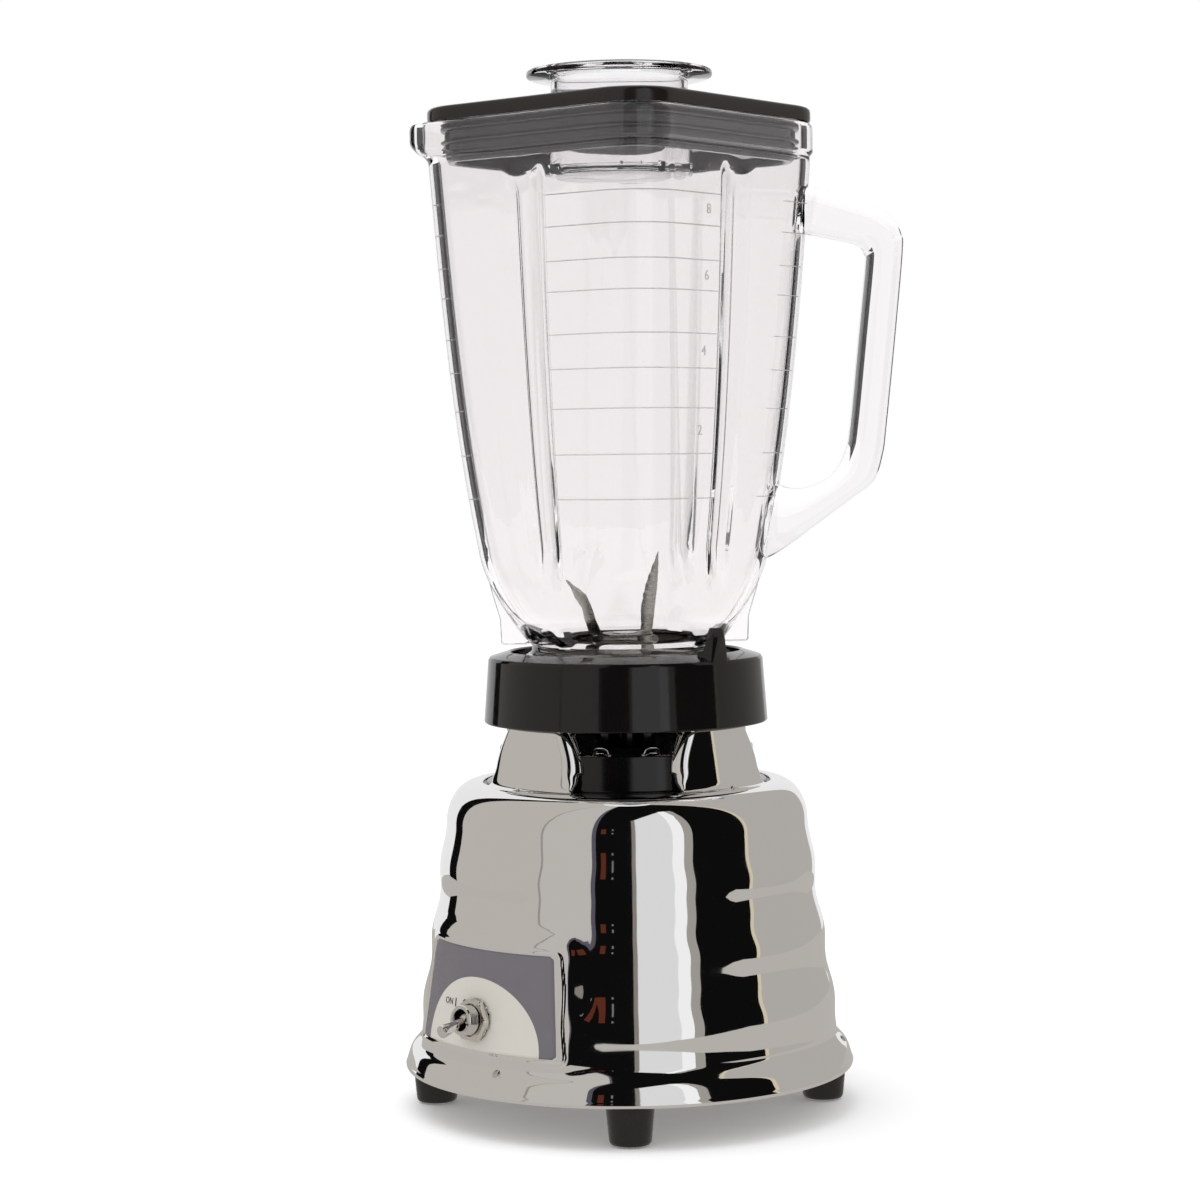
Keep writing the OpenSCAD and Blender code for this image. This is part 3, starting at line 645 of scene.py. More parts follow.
def make_housing():
    sheet = Sheet()
    columns = column_angles()
    angles = [w + c for w in WINDOW_ANGLES for c in columns[:-1]]
    rows = shell_rows()
    sheet.loft([[polar(front_r(r, a, z), a, z) for a in angles] for r, z in rows])
    for centre in WINDOW_ANGLES:
        neck_quarter(sheet, centre, columns)
    corner_r = neck_r_at(NECK_TOP_Z - 1) - 1
    top_rows = [(corner_r + math.cos(math.radians(a)), NECK_TOP_Z - 1 + math.sin(math.radians(a)))
                for a in spread(0, 90, 4)]
    top_rows += [(44, NECK_TOP_Z), (NECK_LIP_R, NECK_TOP_Z)]
    top_angles = [w + c for w in WINDOW_ANGLES for c in spread(-45, 45, 40)[:-1]]
    sheet.loft([[polar(r, a, z) for a in top_angles] for r, z in top_rows])

    def open_at(face):
        x, y, z = (sum(sheet.points[i][k] for i in face) / len(face) for k in range(3))
        if y < -60 and math.hypot(x, z - SWITCH_Z) < 6.4:
            return True
        return y > 60 and math.hypot(x, z - GROMMET_Z) < 5.4

    sheet.faces = [f for f in sheet.faces if not open_at(f)]
    piece = new_object("chrome_housing", sheet, merge=0.002)
    solidify(piece, SHEET_T)
    dress(piece, CHROME, "base", ["housing"], sharp=50)


def make_label():
    rows, columns, corner = 36, 48, 1.4
    z0, z1 = LABEL_Z[0] + 0.15, LABEL_Z[1] - 0.15
    grid = []
    for z in spread(z0, z1, rows):
        t = (z - LABEL_Z[0]) / (LABEL_Z[1] - LABEL_Z[0])
        half = mix(LABEL_HALF[0], LABEL_HALF[1], t) - 0.15
        edge = min(z - z0, z1 - z, corner)
        half -= corner - math.sqrt(corner ** 2 - (corner - edge) ** 2)
        r = face_r(z) + 0.12
        line = []
        for x in spread(-half, half, columns):
            line.append((x, -math.sqrt(r * r - x * x), z))
        grid.append(line)
    sheet = Sheet()
    sheet.loft(grid, closed=False)
    sheet.faces = [f for f in sheet.faces if not near_switch(sheet, f)]
    piece = new_object("label_panel", sheet)
    solidify(piece, 0.3)
    dress(piece, LABEL, "base", ["label_plate"], sharp=50)


def near_switch(sheet, face):
    x = sum(sheet.points[i][0] for i in face) / len(face)
    z = sum(sheet.points[i][2] for i in face) / len(face)
    return math.hypot(x, z - SWITCH_Z) < 6.6


def text_mesh(name, words, size):
    """Flat letters in the XY plane, in millimetres, centred on the origin."""
    curve = bpy.data.curves.new(name, "FONT")
    curve.body = words
    curve.size = size
    curve.align_x = "CENTER"
    curve.align_y = "CENTER"
    curve.resolution_u = 3
    curve.extrude = 0.12
    maker = bpy.data.objects.new(name, curve)
    bpy.context.scene.collection.objects.link(maker)
    bpy.context.view_layer.update()
    mesh = bpy.data.meshes.new_from_object(maker.evaluated_get(bpy.context.evaluated_depsgraph_get()))
    bpy.data.objects.remove(maker)
    sheet = Sheet()
    sheet.points = [tuple(v.co) for v in mesh.vertices]
    sheet.faces = [tuple(f.vertices) for f in mesh.polygons]
    return sheet


def make_label_marks():
    """The two switch positions in plain letters, and a tick beside the upper one."""
    tick = extruded([(-0.3, -1.5), (0.3, -1.5), (0.3, 1.5), (-0.3, 1.5)], 0.12)
    marks = [("mark_on", text_mesh("on", "ON", 3.2), -15.6, 44.2),
             ("mark_off", text_mesh("off", "OFF", 3.2), -14.4, 34.2),
             ("mark_tick", tick, -11.4, 44.3)]
    for name, sheet, across, height in marks:
        points = []
        for x, y, out in sheet.points:
            z = height + y
            r = face_r(z) + 0.13 + out
            side = x + across
            points.append((side, -math.sqrt(r * r - side * side), z))
        sheet.points = points
        new_piece(name, sheet, INK, "base", merge=0.001)


def make_switch():
    threads = []
    z = 2.6
    while z < SLEEVE_OUT - 0.9:
        threads += [(SLEEVE_R, z), (SLEEVE_R - 0.38, z + 0.32)]
        z += 0.64
    end = SLEEVE_OUT
    profile = [(SLEEVE_R - 0.4, -8), (SLEEVE_R - 0.4, 2.5)] + threads
    profile += [(SLEEVE_R, end - 0.5), (SLEEVE_R - 0.3, end, 0.2), (SLEEVE_BORE_R + 0.15, end, 0.15),
                (SLEEVE_BORE_R, end - 0.2), (SLEEVE_BORE_R, -8)]
    sleeve = turned_profile(rounded(profile), 72, loop=True).moved(switch_frame())
    new_piece("switch_sleeve", sleeve, NICKEL, "base", ["switch_bushing"], sharp=28)

    def hex_r(angle, across):
        a = (angle + 30) % 60 - 30
        return across / math.cos(math.radians(a))

    steps = 96
    angles = [360 * i / steps for i in range(steps)]
    corner = NUT_FLAT_R / math.cos(math.radians(30))
    levels = [(0.4, 20, 0.35), (0.55, 20, 0), (1.8, 20, 0), (2.1, corner - 0.35, 0), (2.4, corner - 0.85, 0)]
    rings = [[polar(min(hex_r(a + 30, NUT_FLAT_R), limit) - trim, a, z) for a in angles]
             for z, limit, trim in levels]
    bore = SLEEVE_R + 0.05
    rings += [[polar(r, a, z) for a in angles] for r, z in [(bore + 0.5, 2.4), (bore, 2.1), (bore, 0.4)]]
    nut = Sheet()
    nut.loft(rings, loop=True)
    nut.moved(switch_frame())
    new_piece("hex_nut", nut, NICKEL, "base", ["switch_nut"], sharp=25)
    washer_r = NUT_FLAT_R + 0.3
    washer = rounded([(bore, 0.0), (washer_r, 0.0, 0.15), (washer_r, 0.4, 0.15), (bore, 0.4)])
    washer = turned_profile(washer, 72, loop=True).moved(switch_frame())
    new_piece("nut_washer", washer, NICKEL, "base", sharp=28)

    ball_r = 2.6
    bat = [(0, -ball_r)] + [(ball_r * math.cos(math.radians(a)), ball_r * math.sin(math.radians(a)))
                            for a in spread(-80, 50, 10)]
    bat += rounded([(1.6, 3.1), (1.65, 4.5), (1.9, 8), (2.2, LEVER_REACH - 2), (2.3, LEVER_REACH, 0.7),
                    (0, LEVER_REACH + 0.35)], closed=False)
    lever = turned_profile(bat, 40).moved(switch_frame(PIVOT_OUT, LEVER_ANGLE))
    new_piece("bat_lever", lever, LEVER_STEEL, "switch_lever", ["switch_lever"], sharp=30)


def make_feet():
    profile = rounded([(4.2, 0.05), (6.9, 0.0, 0.9), (7.35, 1.1, 0.4), (8.65, 14.9), (8.4, 15.0),
                       (2.1, 15.0), (2.1, 6.0), (4.2, 6.0)])
    for i, angle in enumerate(WINDOW_ANGLES):
        foot = turned_profile(profile, 64, loop=True)
        foot.moved(Matrix.Translation(polar(FOOT_CIRCLE_R, angle, 0)))
        new_piece(f"rubber_foot_{i + 1}", foot, FOOT, "base", [f"foot_{i + 1}"], sharp=40)


def make_cover():
    """Black dish inside the neck, with a raised ring that carries the four screws."""
    rim, plate = COVER_RIM_Z, PLATFORM_Z
    profile = rounded([
        (50.8, 116.2), (50.8, 117.4, 0.4), (46.6, 117.6, 0.6), (45.9, rim, 0.6), (44.3, rim, 0.6),
        (43.4, 118.8, 1.2), (40, 118.9, 1.0), (30, 121.9, 2.0), (20, plate + 1, 0.8), (11, plate + 1, 0.5),
        (10.4, plate, 0.3), (9, plate, 0.3), (9, 121.5), (23, 121.5), (38, 117), (42, 116.2)])
    dish = turned_profile(profile, 128, loop=True)
    new_piece("black_cover", dish, COVER, "base", ["drip_cover"])


def make_small_hardware():
    """Rivet-like heads on the shell, the cord's grommet and the domed screws in the neck."""
    head = rounded([(0, -1.5), (1.1, -1.5), (1.1, -0.3), (1.5, -0.2, 0.15), (1.45, 0.25, 0.3),
                    (0.9, 0.6, 0.5), (0, 0.68)], closed=False)
    heads = Sheet()
    for angle in SHELL_SCREW_ANGLES:
        one = turned_profile(head, 32)
        spot = polar(shell_r(SHELL_SCREW_Z), angle, SHELL_SCREW_Z)
        place = Matrix.Translation(spot) @ Matrix.Rotation(math.radians(angle), 4, "Z")
        one.moved(place @ Matrix.Rotation(math.radians(90 - 42), 4, "Y"))
        heads.add(one)
    new_piece("shell_screw_heads", heads, SCREW, "base", ["shell_screws"])

    profile = rounded([(3.6, 68), (7.5, 68, 0.5), (7.5, 70.5, 0.5), (5.3, 70.5), (5.3, 76), (8.5, 76),
                       (8.5, 78.2, 1.4), (6.2, 79.5, 0.8), (3.6, 79.5, 0.6)])
    grommet = turned_profile(profile, 64, loop=True)
    turn = Matrix.Translation((0, 0, GROMMET_Z)) @ Matrix.Rotation(math.radians(-90), 4, "X")
    new_piece("inlet_grommet", grommet.moved(turn), GROMMET, "base", ["cord_grommet"])

    base_z = PLATFORM_Z + 1
    dome = rounded([(0, base_z - 15), (1.95, base_z - 15), (1.95, base_z), (3.5, base_z, 0.1),
                    (3.5, base_z + 0.7, 0.3), (2.7, base_z + 2.2, 0.9), (1.3, base_z + 2.95, 0.8),
                    (0, base_z + 3)], closed=False)
    domes = Sheet()
    for angle in (0, 90, 180, 270):
        domes.add(turned_profile(dome, 40).moved(Matrix.Translation(polar(COVER_SCREW_R, angle, 0))))
    new_piece("domed_screws", domes, LEVER_STEEL, "base", ["cover_screws"])


# ---------------------------------------------------------------- collar and blades

def make_collar():
    profile = rounded([
        (49, 146), (49, COLLAR_Z + 0.2, 0.4), (COLLAR_R - 0.4, COLLAR_Z, 0.5),
        (COLLAR_R, COLLAR_Z + 0.6, 0.4),
        (49.75, 161.3, 0.5), (49.1, 162.35, 0.6), (42.4, 164.4, 0.5), (41.6, 163.9, 0.3), (41.6, 149.5),
        (36, 149.5), (36, 146)])
    ring = new_object("collar_ring", turned_profile(profile, 160, loop=True))
    side = rounded([
        (42.2, 162.6), (49.3, 160.5), (49.2, 171, 2.0), (48.1, TAB_TOP_Z, 0.8), (46.3, TAB_TOP_Z, 0.5),
        (45.9, 173, 0.5), (45.9, 166.2, 1.5), (44, 165.8, 0.8), (42.2, 164.6)])
    tab = Sheet()
    widths = [(-4.15, 0.6), (-3.75, 0), (3.75, 0), (4.15, 0.6)]
    middle = (46.4, 166.5)
    rings = []
    for y, shrink in widths:
        ring_points = []
        for r, z in side:
            narrow = 1 - 0.5 * smooth((z - 165.5) / 9)
            pull = shrink / 12
            ring_points.append((mix(r, middle[0], pull), y * narrow, mix(z, middle[1], pull)))
        rings.append(ring_points)
    tab.tube(rings)
    tab.moved(Matrix.Rotation(math.radians(TAB_ANGLE), 4, "Z"))
    piece = unite(ring, [new_object("collar_tab", tab)])
    piece.name = "threaded_collar"
    dress(piece, COLLAR, "collar", ["collar"], sharp=32)


def make_hub():
    """Steel flange with a six-sided hub that flares to its foot."""
    steps = 96
    angles = [360 * i / steps for i in range(steps)]
    turn = CAMERA_SIDE + 4

    def hex_ring(circumradius, z, roundness):
        ring = []
        for a in angles:
            local = (a - turn + 30) % 60 - 30
            side = circumradius * math.cos(math.radians(30)) / math.cos(math.radians(local))
            ring.append(polar(mix(side, circumradius * 0.95, roundness), a, z))
        return ring

    def round_ring(r, z):
        return [polar(r, a, z) for a in angles]

    flange = [(6, 141), (9.3, 141), (9.5, 141.3), (9.5, 149.5), (40.4, 149.5), (40.8, 149.8), (40.8, 150.4),
              (40.4, 150.7), (31.5, 150.7), (30, 151.6), (14, 153.2)]
    six_sided = [(12.4, 155.0, 0.5), (11.6, 157.5, 0.3), (10.9, 159.6, 0.15), (10.2, 161.0, 0.1),
                 (9.2, 162.2, 0.06), (8.5, 163.4, 0.05), (8.05, 164.6, 0.05), (7.85, 165.7, 0.05),
                 (7.5, 166.05, 0.2)]
    rings = [round_ring(r, z) for r, z in flange]
    rings += [hex_ring(r, z, roundness) for r, z, roundness in six_sided]
    rings.append(round_ring(6, 166.05))
    hub = Sheet()
    hub.loft(rings, loop=True)
    new_piece("blade_hub", hub, BLADE, "collar", ["blade_bearing"], sharp=24)


def blade_arm(sheet, azimuth, stations, thickness, teeth=None):
    """An arm along azimuth. A station is (out, height, low side, high side); the edges are ground thin."""
    rows = through(stations, 7)
    rings = []
    for i, (out, z, low, high) in enumerate(rows):
        before, after = rows[max(i - 1, 0)], rows[min(i + 1, len(rows) - 1)]
        run, rise = after[0] - before[0], after[1] - before[1]
        size = math.hypot(run, rise)
        nr, nz = -rise / size, run / size
        if teeth and z > teeth:
            high -= 0.5 * abs(math.sin(0.9 * (z - teeth)))
        high = max(high, low + 0.15)
        land = min(1.3, 0.35 * (high - low))
        t = thickness / 2 * min(1, 0.35 + (high - low) / 3)
        section = [(low, 0), (low + land, t), (high - land, t),
                   (high, 0), (high - land, -t), (low + land, -t)]
        ring = []
        for side, off in section:
            r = out + nr * off
            ring.append(turned(r, side, azimuth) + (z + nz * off,))
        rings.append(ring)
    sheet.tube(rings)


def blade_disc(sheet, z0, z1):
    profile = [(SHAFT_HOLE_R, z0), (DISC_R, z0, 0.2), (DISC_R, z1, 0.2), (SHAFT_HOLE_R, z1)]
    sheet.add(turned_profile(rounded(profile), 64, loop=True))


def make_blades():
    lower = Sheet()
    blade_disc(lower, BLADE_Z, BLADE_Z + LOWER_T)
    for azimuth in (15, 195):
        blade_arm(lower, azimuth, [
            (8.6, BLADE_Z + LOWER_T / 2, -5, 5), (10.6, BLADE_Z - 0.1, -5, 5), (11.7, 164.3, -4.6, 4.6),
            (13, 162.6, -4.2, 4.2), (16, 162.2, -3.9, 3.9), (22, 162, -3.2, 3.2), (25, 162.3, -2.4, 2.2),
            (26.6, 163.4, -1.2, 0.6)], LOWER_T)
    new_piece("lower_cutter", lower, BLADE, "blades", ["lower_blade"], sharp=22)
    upper = Sheet()
    top = BLADE_Z + LOWER_T
    blade_disc(upper, top, top + UPPER_T)
    blade_arm(upper, 83, [
        (8.0, top + 0.5, -3.4, 3.4), (9.7, top + 1.2, -3.2, 3.6), (10.6, 170.8, -3.0, 4.0),
        (11.2, 174.6, -2.8, 4.6), (12.0, 178.4, -2.6, 5.6), (13.0, 182.5, -2.4, 6.2),
        (14.2, 187.5, -2.2, 5.6),
        (15.4, 192.0, -1.6, 4.2), (16.5, 196.4, -0.9, 2.3), (17.4, 199.8, -0.1, 0.3)], UPPER_T, teeth=181)
    blade_arm(upper, 263, [
        (8.4, top + 0.5, -5.4, 4.6), (10.8, top + 1.3, -6.4, 4.2), (12.1, 170.3, -6.6, 1.6),
        (13.8, 174.6, -6, 1.4), (16.3, 181, -4.9, 1.2), (19, 186.9, -5.3, 0.2),
        (21.4, 190.4, -6, -5.6)], UPPER_T)
    new_piece("upper_cutter", upper, BLADE, "blades", ["upper_blade"], sharp=22)


# ---------------------------------------------------------------- glass jar

def jar_diag_at(z):
    u = max(337.8 - z, 0)
    return JAR_DIAG - 0.078 * u - 2.1e-6 * u ** 3


def side_from(diag, corner):
    return (diag - corner) / math.sqrt(2) + corner


def jar_corner(z):
    if z >= BODY_LOW_Z:
        return CORNER_R - 0.0257 * (z - BODY_LOW_Z)
    return mix(CORNER_R, WAIST_R, min((BODY_LOW_Z - z) / (BODY_LOW_Z - WAIST_Z), 1))


def jar_half(z):
    if z >= BODY_LOW_Z:
        return side_from(jar_diag_at(z), jar_corner(z))
    t = min((BODY_LOW_Z - z) / (BODY_LOW_Z - WAIST_Z), 1)
    return mix(WAIST_R, side_from(jar_diag_at(BODY_LOW_Z), CORNER_R), math.cos(math.pi / 2 * t))


def jar_flute(z):
    return FLUTE_D * smooth((z - 186) / 16) * smooth((338 - z) / 7)


def rim_bead(z):
    """How far the thickened rim stands out of the wall."""
    return RIM_BEAD * smooth((z - 341.5) / 1.6)


def with_spout(x, y, z):
    angle = math.degrees(math.atan2(y, x)) % 360
    d = (angle - JAR_TURN - 225) / 10
    push = 5.6 * math.exp(-d * d) * smooth((z - 339) / 8)
    r = math.hypot(x, y)
    return (x * (r + push) / r, y * (r + push) / r, z)


FLUTE_STEPS = [i / 8 for i in range(-8, 9)]


def quarter_outline(z, inset):
    """One side and one corner of the jar at height z, before it is turned."""
    a = jar_half(z) - inset
    c = max(jar_corner(z) - inset, 6)
    w = min(6.5 + 3 * (z - 198) / 142, 0.6 * (a - c)) if a - c > 0.02 else 0.01
    out = [(a - jar_flute(z) * math.cos(math.pi / 2 * s) ** 1.6, s * w) for s in FLUTE_STEPS]
    out += [(a, mix(w, a - c, k / 3)) for k in (1, 2)]
    out += [(a - c + c * math.cos(math.radians(q)), a - c + c * math.sin(math.radians(q)))
            for q in spread(0, 90, 12)]
    out += [(mix(a - c, w, k / 3), a) for k in (1, 2)]
    return out


def jar_ring(z, inset, at=None):
    """Points round the jar; at puts them at another height."""
    ring = []
    for quarter in range(4):
        for x, y in quarter_outline(z, inset):
            px, py, pz = with_spout(*turned(x, y, JAR_TURN + 90 * quarter), z)
            ring.append((px, py, pz if at is None else at))
    return ring


def round_from(ring, r, z):
    """A round ring whose points have the same directions as those of another ring."""
    return [(x * r / math.hypot(x, y), y * r / math.hypot(x, y), z) for x, y, _ in ring]


def jar_handle():
    """The solid handle, as sections between its outer and inner edge."""
    edges = [
        (64.6, 331.6, 64.4, 313.6, 10.4), (67.5, 331.2, 66.8, 314.0, 9.4), (73, 329.8, 71, 313.4, 8.7),
        (84, 326.6, 79.5, 311.6, 8.5), (93.6, 323.4, 85.7, 310.2, 8.5), (99.2, 319.4, 88.2, 308.6, 8.5),
        (101.9, 313.8, 89.2, 306.6, 8.5), (102.4, 307.6, 89.4, 303, 8.5), (99.4, 276, 86.6, 276, 8.5),
        (96, 244, 83.3, 244, 8.5), (94.6, 234, 81.6, 235.5, 8.5), (91.2, 224.4, 78, 228.6, 8.5),
        (82.6, 217.8, 73.2, 224.6, 8.5), (70.5, 209, 66, 222.2, 8.7), (60.5, 201.8, 60, 222.4, 9.2),
        (53.2, 197.4, 55.4, 224.2, 9.8), (50.2, 196.8, 53.6, 225.0, 10.4)]
    sheet = Sheet()
    rings = []
    steps = 32
    square = 2 / 3.2
    for ro, zo, ri, zi, half in through(edges, 5):
        ring = []
        for i in range(steps):
            a = 2 * math.pi * i / steps
            c, s = math.cos(a), math.sin(a)
            depth = 0.5 * math.copysign(abs(c) ** square, c)
            side = half * math.copysign(abs(s) ** square, s)
            r = (ro + ri) / 2 + (ro - ri) * depth
            z = (zo + zi) / 2 + (zo - zi) * depth
            ring.append((r, side, z))
        rings.append(ring)
    sheet.tube(rings)
    return sheet.moved(Matrix.Rotation(math.radians(JAR_TURN + 45), 4, "Z"))


def jar_fin(angle):
    outline = rounded([(34, 167.8), (36, 166.6), (44.2, 166.6, 0.8), (45, 167.6, 0.6), (45.3, 176, 6),
                       (48.4, 186.5), (49.2, 190), (47.4, 190), (45.2, 186), (41.4, 180), (38, 175),
                       (35.5, 171)])
    fin = Sheet()
    middle = (42.5, 176)
    rings = []
    for y, shrink in ((-2.1, 0.7), (-1.4, 0), (1.4, 0), (2.1, 0.7)):
        pull = shrink / 12
        rings.append([(mix(r, middle[0], pull), y, mix(z, middle[1], pull)) for r, z in outline])
    fin.tube(rings)
    return fin.moved(Matrix.Rotation(math.radians(angle), 4, "Z"))


def make_jar():
    heights = [169, 170.5, 172.5, 175, 178, 181, 184, 187, 190, 193, 196, 199, 202, 205, 208, 211, 214]
    heights += spread(218, 326, 27) + [329, 331, 332.5, 334, 335.5, 337, 338.5, 340, 341.5]
    rim = [342, 342.5, 343.1, 344, 345, 346, 347, 349, 351]
    first = jar_ring(168, 0)
    outside = [round_from(first, 30.9, JAR_FOOT_Z), round_from(first, 38.8, JAR_FOOT_Z),
               round_from(first, 39.4, JAR_FOOT_Z + 0.6), round_from(first, 39.4, 160.9),
               round_from(first, 39.0, 161.6), round_from(first, 35.4, 163.4), round_from(first, 34.3, 164.1),
               round_from(first, WAIST_R, 165), round_from(first, WAIST_R, 166.6)]
    outside += [jar_ring(z, 0) for z in heights]
    outside += [jar_ring(z, -rim_bead(z)) for z in rim]
    outside += [jar_ring(352.2, 0.2 - RIM_BEAD), jar_ring(353, 0.7 - RIM_BEAD), jar_ring(353.4, 0.5),
                jar_ring(JAR_TOP_Z, 1.3, JAR_TOP_Z)]
    inside = [jar_ring(JAR_TOP_Z, 2.4, JAR_TOP_Z), jar_ring(353.1, 3.1), jar_ring(352.3, GLASS_T)]
    inside += [jar_ring(z, GLASS_T) for z in reversed(heights[3:] + rim)]
    inside += [[(x, y, z + lift) for x, y, z in jar_ring(h, GLASS_T)]
               for h, lift in ((172.5, 0.6), (170.5, 0.9))]
    inside += [round_from(first, 31.6, 169.6), round_from(first, 30.5, 168), round_from(first, 30.2, 166.5),
               round_from(first, 30.2, JAR_FOOT_Z + 0.6)]
    sheet = Sheet()
    sheet.loft(outside + inside, loop=True)
    jar = new_object("jar_body", sheet)
    parts = [new_object("jar_handle", jar_handle())]
    parts += [new_object(f"jar_fin_{k}", jar_fin(JAR_TURN + a)) for k, a in enumerate((45, 225))]
    jar = unite(jar, parts)
    jar.name = "pressed_glass_jar"
    dress(jar, GLASS, "jar", ["glass_jar"], sharp=34)


def outline_line(quarter, z, first, last, count):
    """Points along the jar's outer face at height z, from one point of its outline to another."""
    line = [turned(x, y, JAR_TURN + 90 * q) for q in (quarter, quarter + 1) for x, y in quarter_outline(z, 0)]
    return along(line[first:last], count)


def raised_line(sheet, line, z, thick):
    """A fine bead of glass along a level line."""
    rings = []
    for i, (x, y) in enumerate(line):
        r = math.hypot(x, y)
        fade = min(1, 0.3 + min(i, len(line) - 1 - i) / 2)
        t = thick * fade
        ring = []
        for k in range(6):
            a = math.radians(60 * k)
            grow = (r + t * math.cos(a)) / r
            ring.append((x * grow, y * grow, z + t * math.sin(a)))
        rings.append(ring)
    sheet.tube(rings)


def make_graduations():
    levels = [324.4, 313.4, 301.6, 291.1, 276.4, 264.5, 250.8, 235, 219.5]
    flute = len(FLUTE_STEPS)
    per = len(quarter_outline(300, 0))
    sheet = Sheet()
    for z in levels:
        raised_line(sheet, outline_line(3, z, flute - 1, per + 1, 48), z, 0.24)
        short = outline_line(2, z, flute + 8, flute + 13, 12)
        raised_line(sheet, short, z, 0.2)
        short = outline_line(0, z, flute + 1, flute + 6, 12)
        raised_line(sheet, short, z, 0.2)
    new_piece("jar_graduations", sheet, GLASS_MARK, "jar", sharp=60)
    numbers = Sheet()
    for value, z in ((8, 319), (6, 296.3), (4, 270.4), (2, 243)):
        glyph = text_mesh("number", str(value), 5.0)
        face = jar_half(z) + 0.05
        glyph.points = [turned(face + out, -17 + x, JAR_TURN) + (z + y,) for x, y, out in glyph.points]
        numbers.add(glyph)
    new_piece("jar_numbers", numbers, GLASS_MARK, "jar", merge=0.001)


# ---------------------------------------------------------------- lid and cap

LID_STEPS = 216
LID_ANGLES = [360 * i / LID_STEPS for i in range(LID_STEPS)]


def square_r(angle, half, corner):
    """Distance from the middle to a rounded square along a direction."""
    a = math.radians(abs((angle + 45) % 90 - 45))
    if half * math.tan(a) <= half - corner:
        return half / math.cos(a)
    c = half - corner
    b = c * (math.cos(a) + math.sin(a))
    return b + math.sqrt(b * b - 2 * c * c + corner * corner)


def lid_square(half, corner, z):
    return [polar(square_r(a, half, corner), a + JAR_TURN, z) for a in LID_ANGLES]


def lid_circle(r, z, slot=0.0, half_width=6.2):
    ring = []
    for a in LID_ANGLES:
        nearest = abs((a + 60) % 120 - 60)
        side = r * math.sin(math.radians(nearest))
        ring.append(polar(r + slot * smooth((half_width - side) / 0.9), a + JAR_TURN, z))
    return ring


def make_lid():
    plug, ridge, corner = 48.3, 49.6, 16.0
    low_z, high_z = 339.5, JAR_TOP_Z
    rings = [lid_circle(25.2, 345.4, 3.1), lid_circle(25.2, LID_TOP_Z - 1, 3.1),
             lid_circle(25.6, LID_TOP_Z - 0.25, 3.1), lid_circle(26.2, LID_TOP_Z, 3.1),
             lid_circle(31, LID_TOP_Z), lid_circle(36, LID_TOP_Z - 0.05)]
    for inset, drop in ((9, 0.1), (3, 0.15), (1.5, 0.25), (0.7, 0.55), (0.2, 1.1), (0, 1.9)):
        rings.append(lid_square(LID_HALF - inset, 18 - inset / 2, LID_TOP_Z - drop))
    rings += [lid_square(LID_HALF, 18, high_z + 1.0), lid_square(LID_HALF - 0.25, 17.8, high_z + 0.3),
              lid_square(LID_HALF - 0.9, 17.4, high_z), lid_square(plug + 0.8, corner, high_z),
              lid_square(plug, corner, high_z - 0.8)]
    for z in (351.1, 346.6, 342.1):
        rings += [lid_square(plug, corner, z + 1.0), lid_square(ridge - 0.3, corner + 0.4, z + 0.55),
                  lid_square(ridge, corner + 0.5, z), lid_square(ridge - 0.3, corner + 0.4, z - 0.55),
                  lid_square(plug, corner, z - 1.0)]
    rings += [lid_square(plug, corner, low_z + 0.8), lid_square(plug - 0.7, corner, low_z),
              lid_square(45.6, 13.4, low_z), lid_square(45, 13, low_z + 0.7), lid_square(45, 13, 355.5),
              lid_square(44, 13, 356.5), lid_circle(32.5, 356.5), lid_circle(31.5, 355.5),
              lid_circle(31.5, 345.6), lid_circle(31, 345), lid_circle(25.8, 345, 3.1)]
    sheet = Sheet()
    sheet.loft(rings, loop=True)
    new_piece("soft_lid", sheet, LID, "lid", ["lid"], sharp=40)


def make_cap():
    wall, bore, flange, top = 24.7, 22.4, 33.4, 372.5
    low = 334.5
    outer = [(22.5, low), (24.3, low + 0.15), (wall, low + 0.6)]
    rings = [[(0, 0, low)], lid_circle(12, low)]
    rings += [lid_circle(r, z, 3.2, 5.5) for r, z in outer]
    rings += [lid_circle(wall, low + 3.6, 3.2, 5.5), lid_circle(wall, low + 4.1), lid_circle(wall, LID_TOP_Z)]
    plain = [(26.3, LID_TOP_Z + 0.1), (26.6, LID_TOP_Z + 0.6), (26.3, 360.6), (25.0, 361.3), (wall, 362.2),
             (wall, 368.2), (25.2, 369.1), (27, 369.6), (flange - 0.7, 370.2), (flange - 0.15, 370.5),
             (flange, 371.0), (flange, 371.8), (flange - 0.25, 372.3), (flange - 0.8, top), (23.4, top),
             (22.7, 372.2), (bore, 371.5), (bore, 338.4), (21.9, 337.2), (20.6, 336.6), (10, 336.6)]
    rings += [lid_circle(r, z) for r, z in plain] + [[(0, 0, 336.6)]]
    sheet = Sheet()
    sheet.loft(rings)
    new_piece("clear_cap", sheet, CAP, "filler_cap", ["filler_cap"], sharp=38)


# ---------------------------------------------------------------- studio and camera

def glow(name, colour):
    made = bpy.data.materials.new(name)
    made.use_nodes = True
    tree = made.node_tree
    tree.nodes.clear()
    light = add_node(tree, "Emission", {"Color": list(colour) + [1]})
    add_node(tree, "OutputMaterial", {"Surface": light.outputs[0]})
    return made


SCREEN = ((1.25, -0.7), (1.25, 1.9), (0.95, 2.7), (0.45, 3.3))


def reflected_only(piece, transmission):
    """Hides a piece of studio from everything but reflections and, if asked, what is seen through glass."""
    for ray in ("camera", "diffuse", "volume_scatter", "shadow"):
        setattr(piece, "visible_" + ray, False)
    piece.visible_transmission = transmission
    return piece


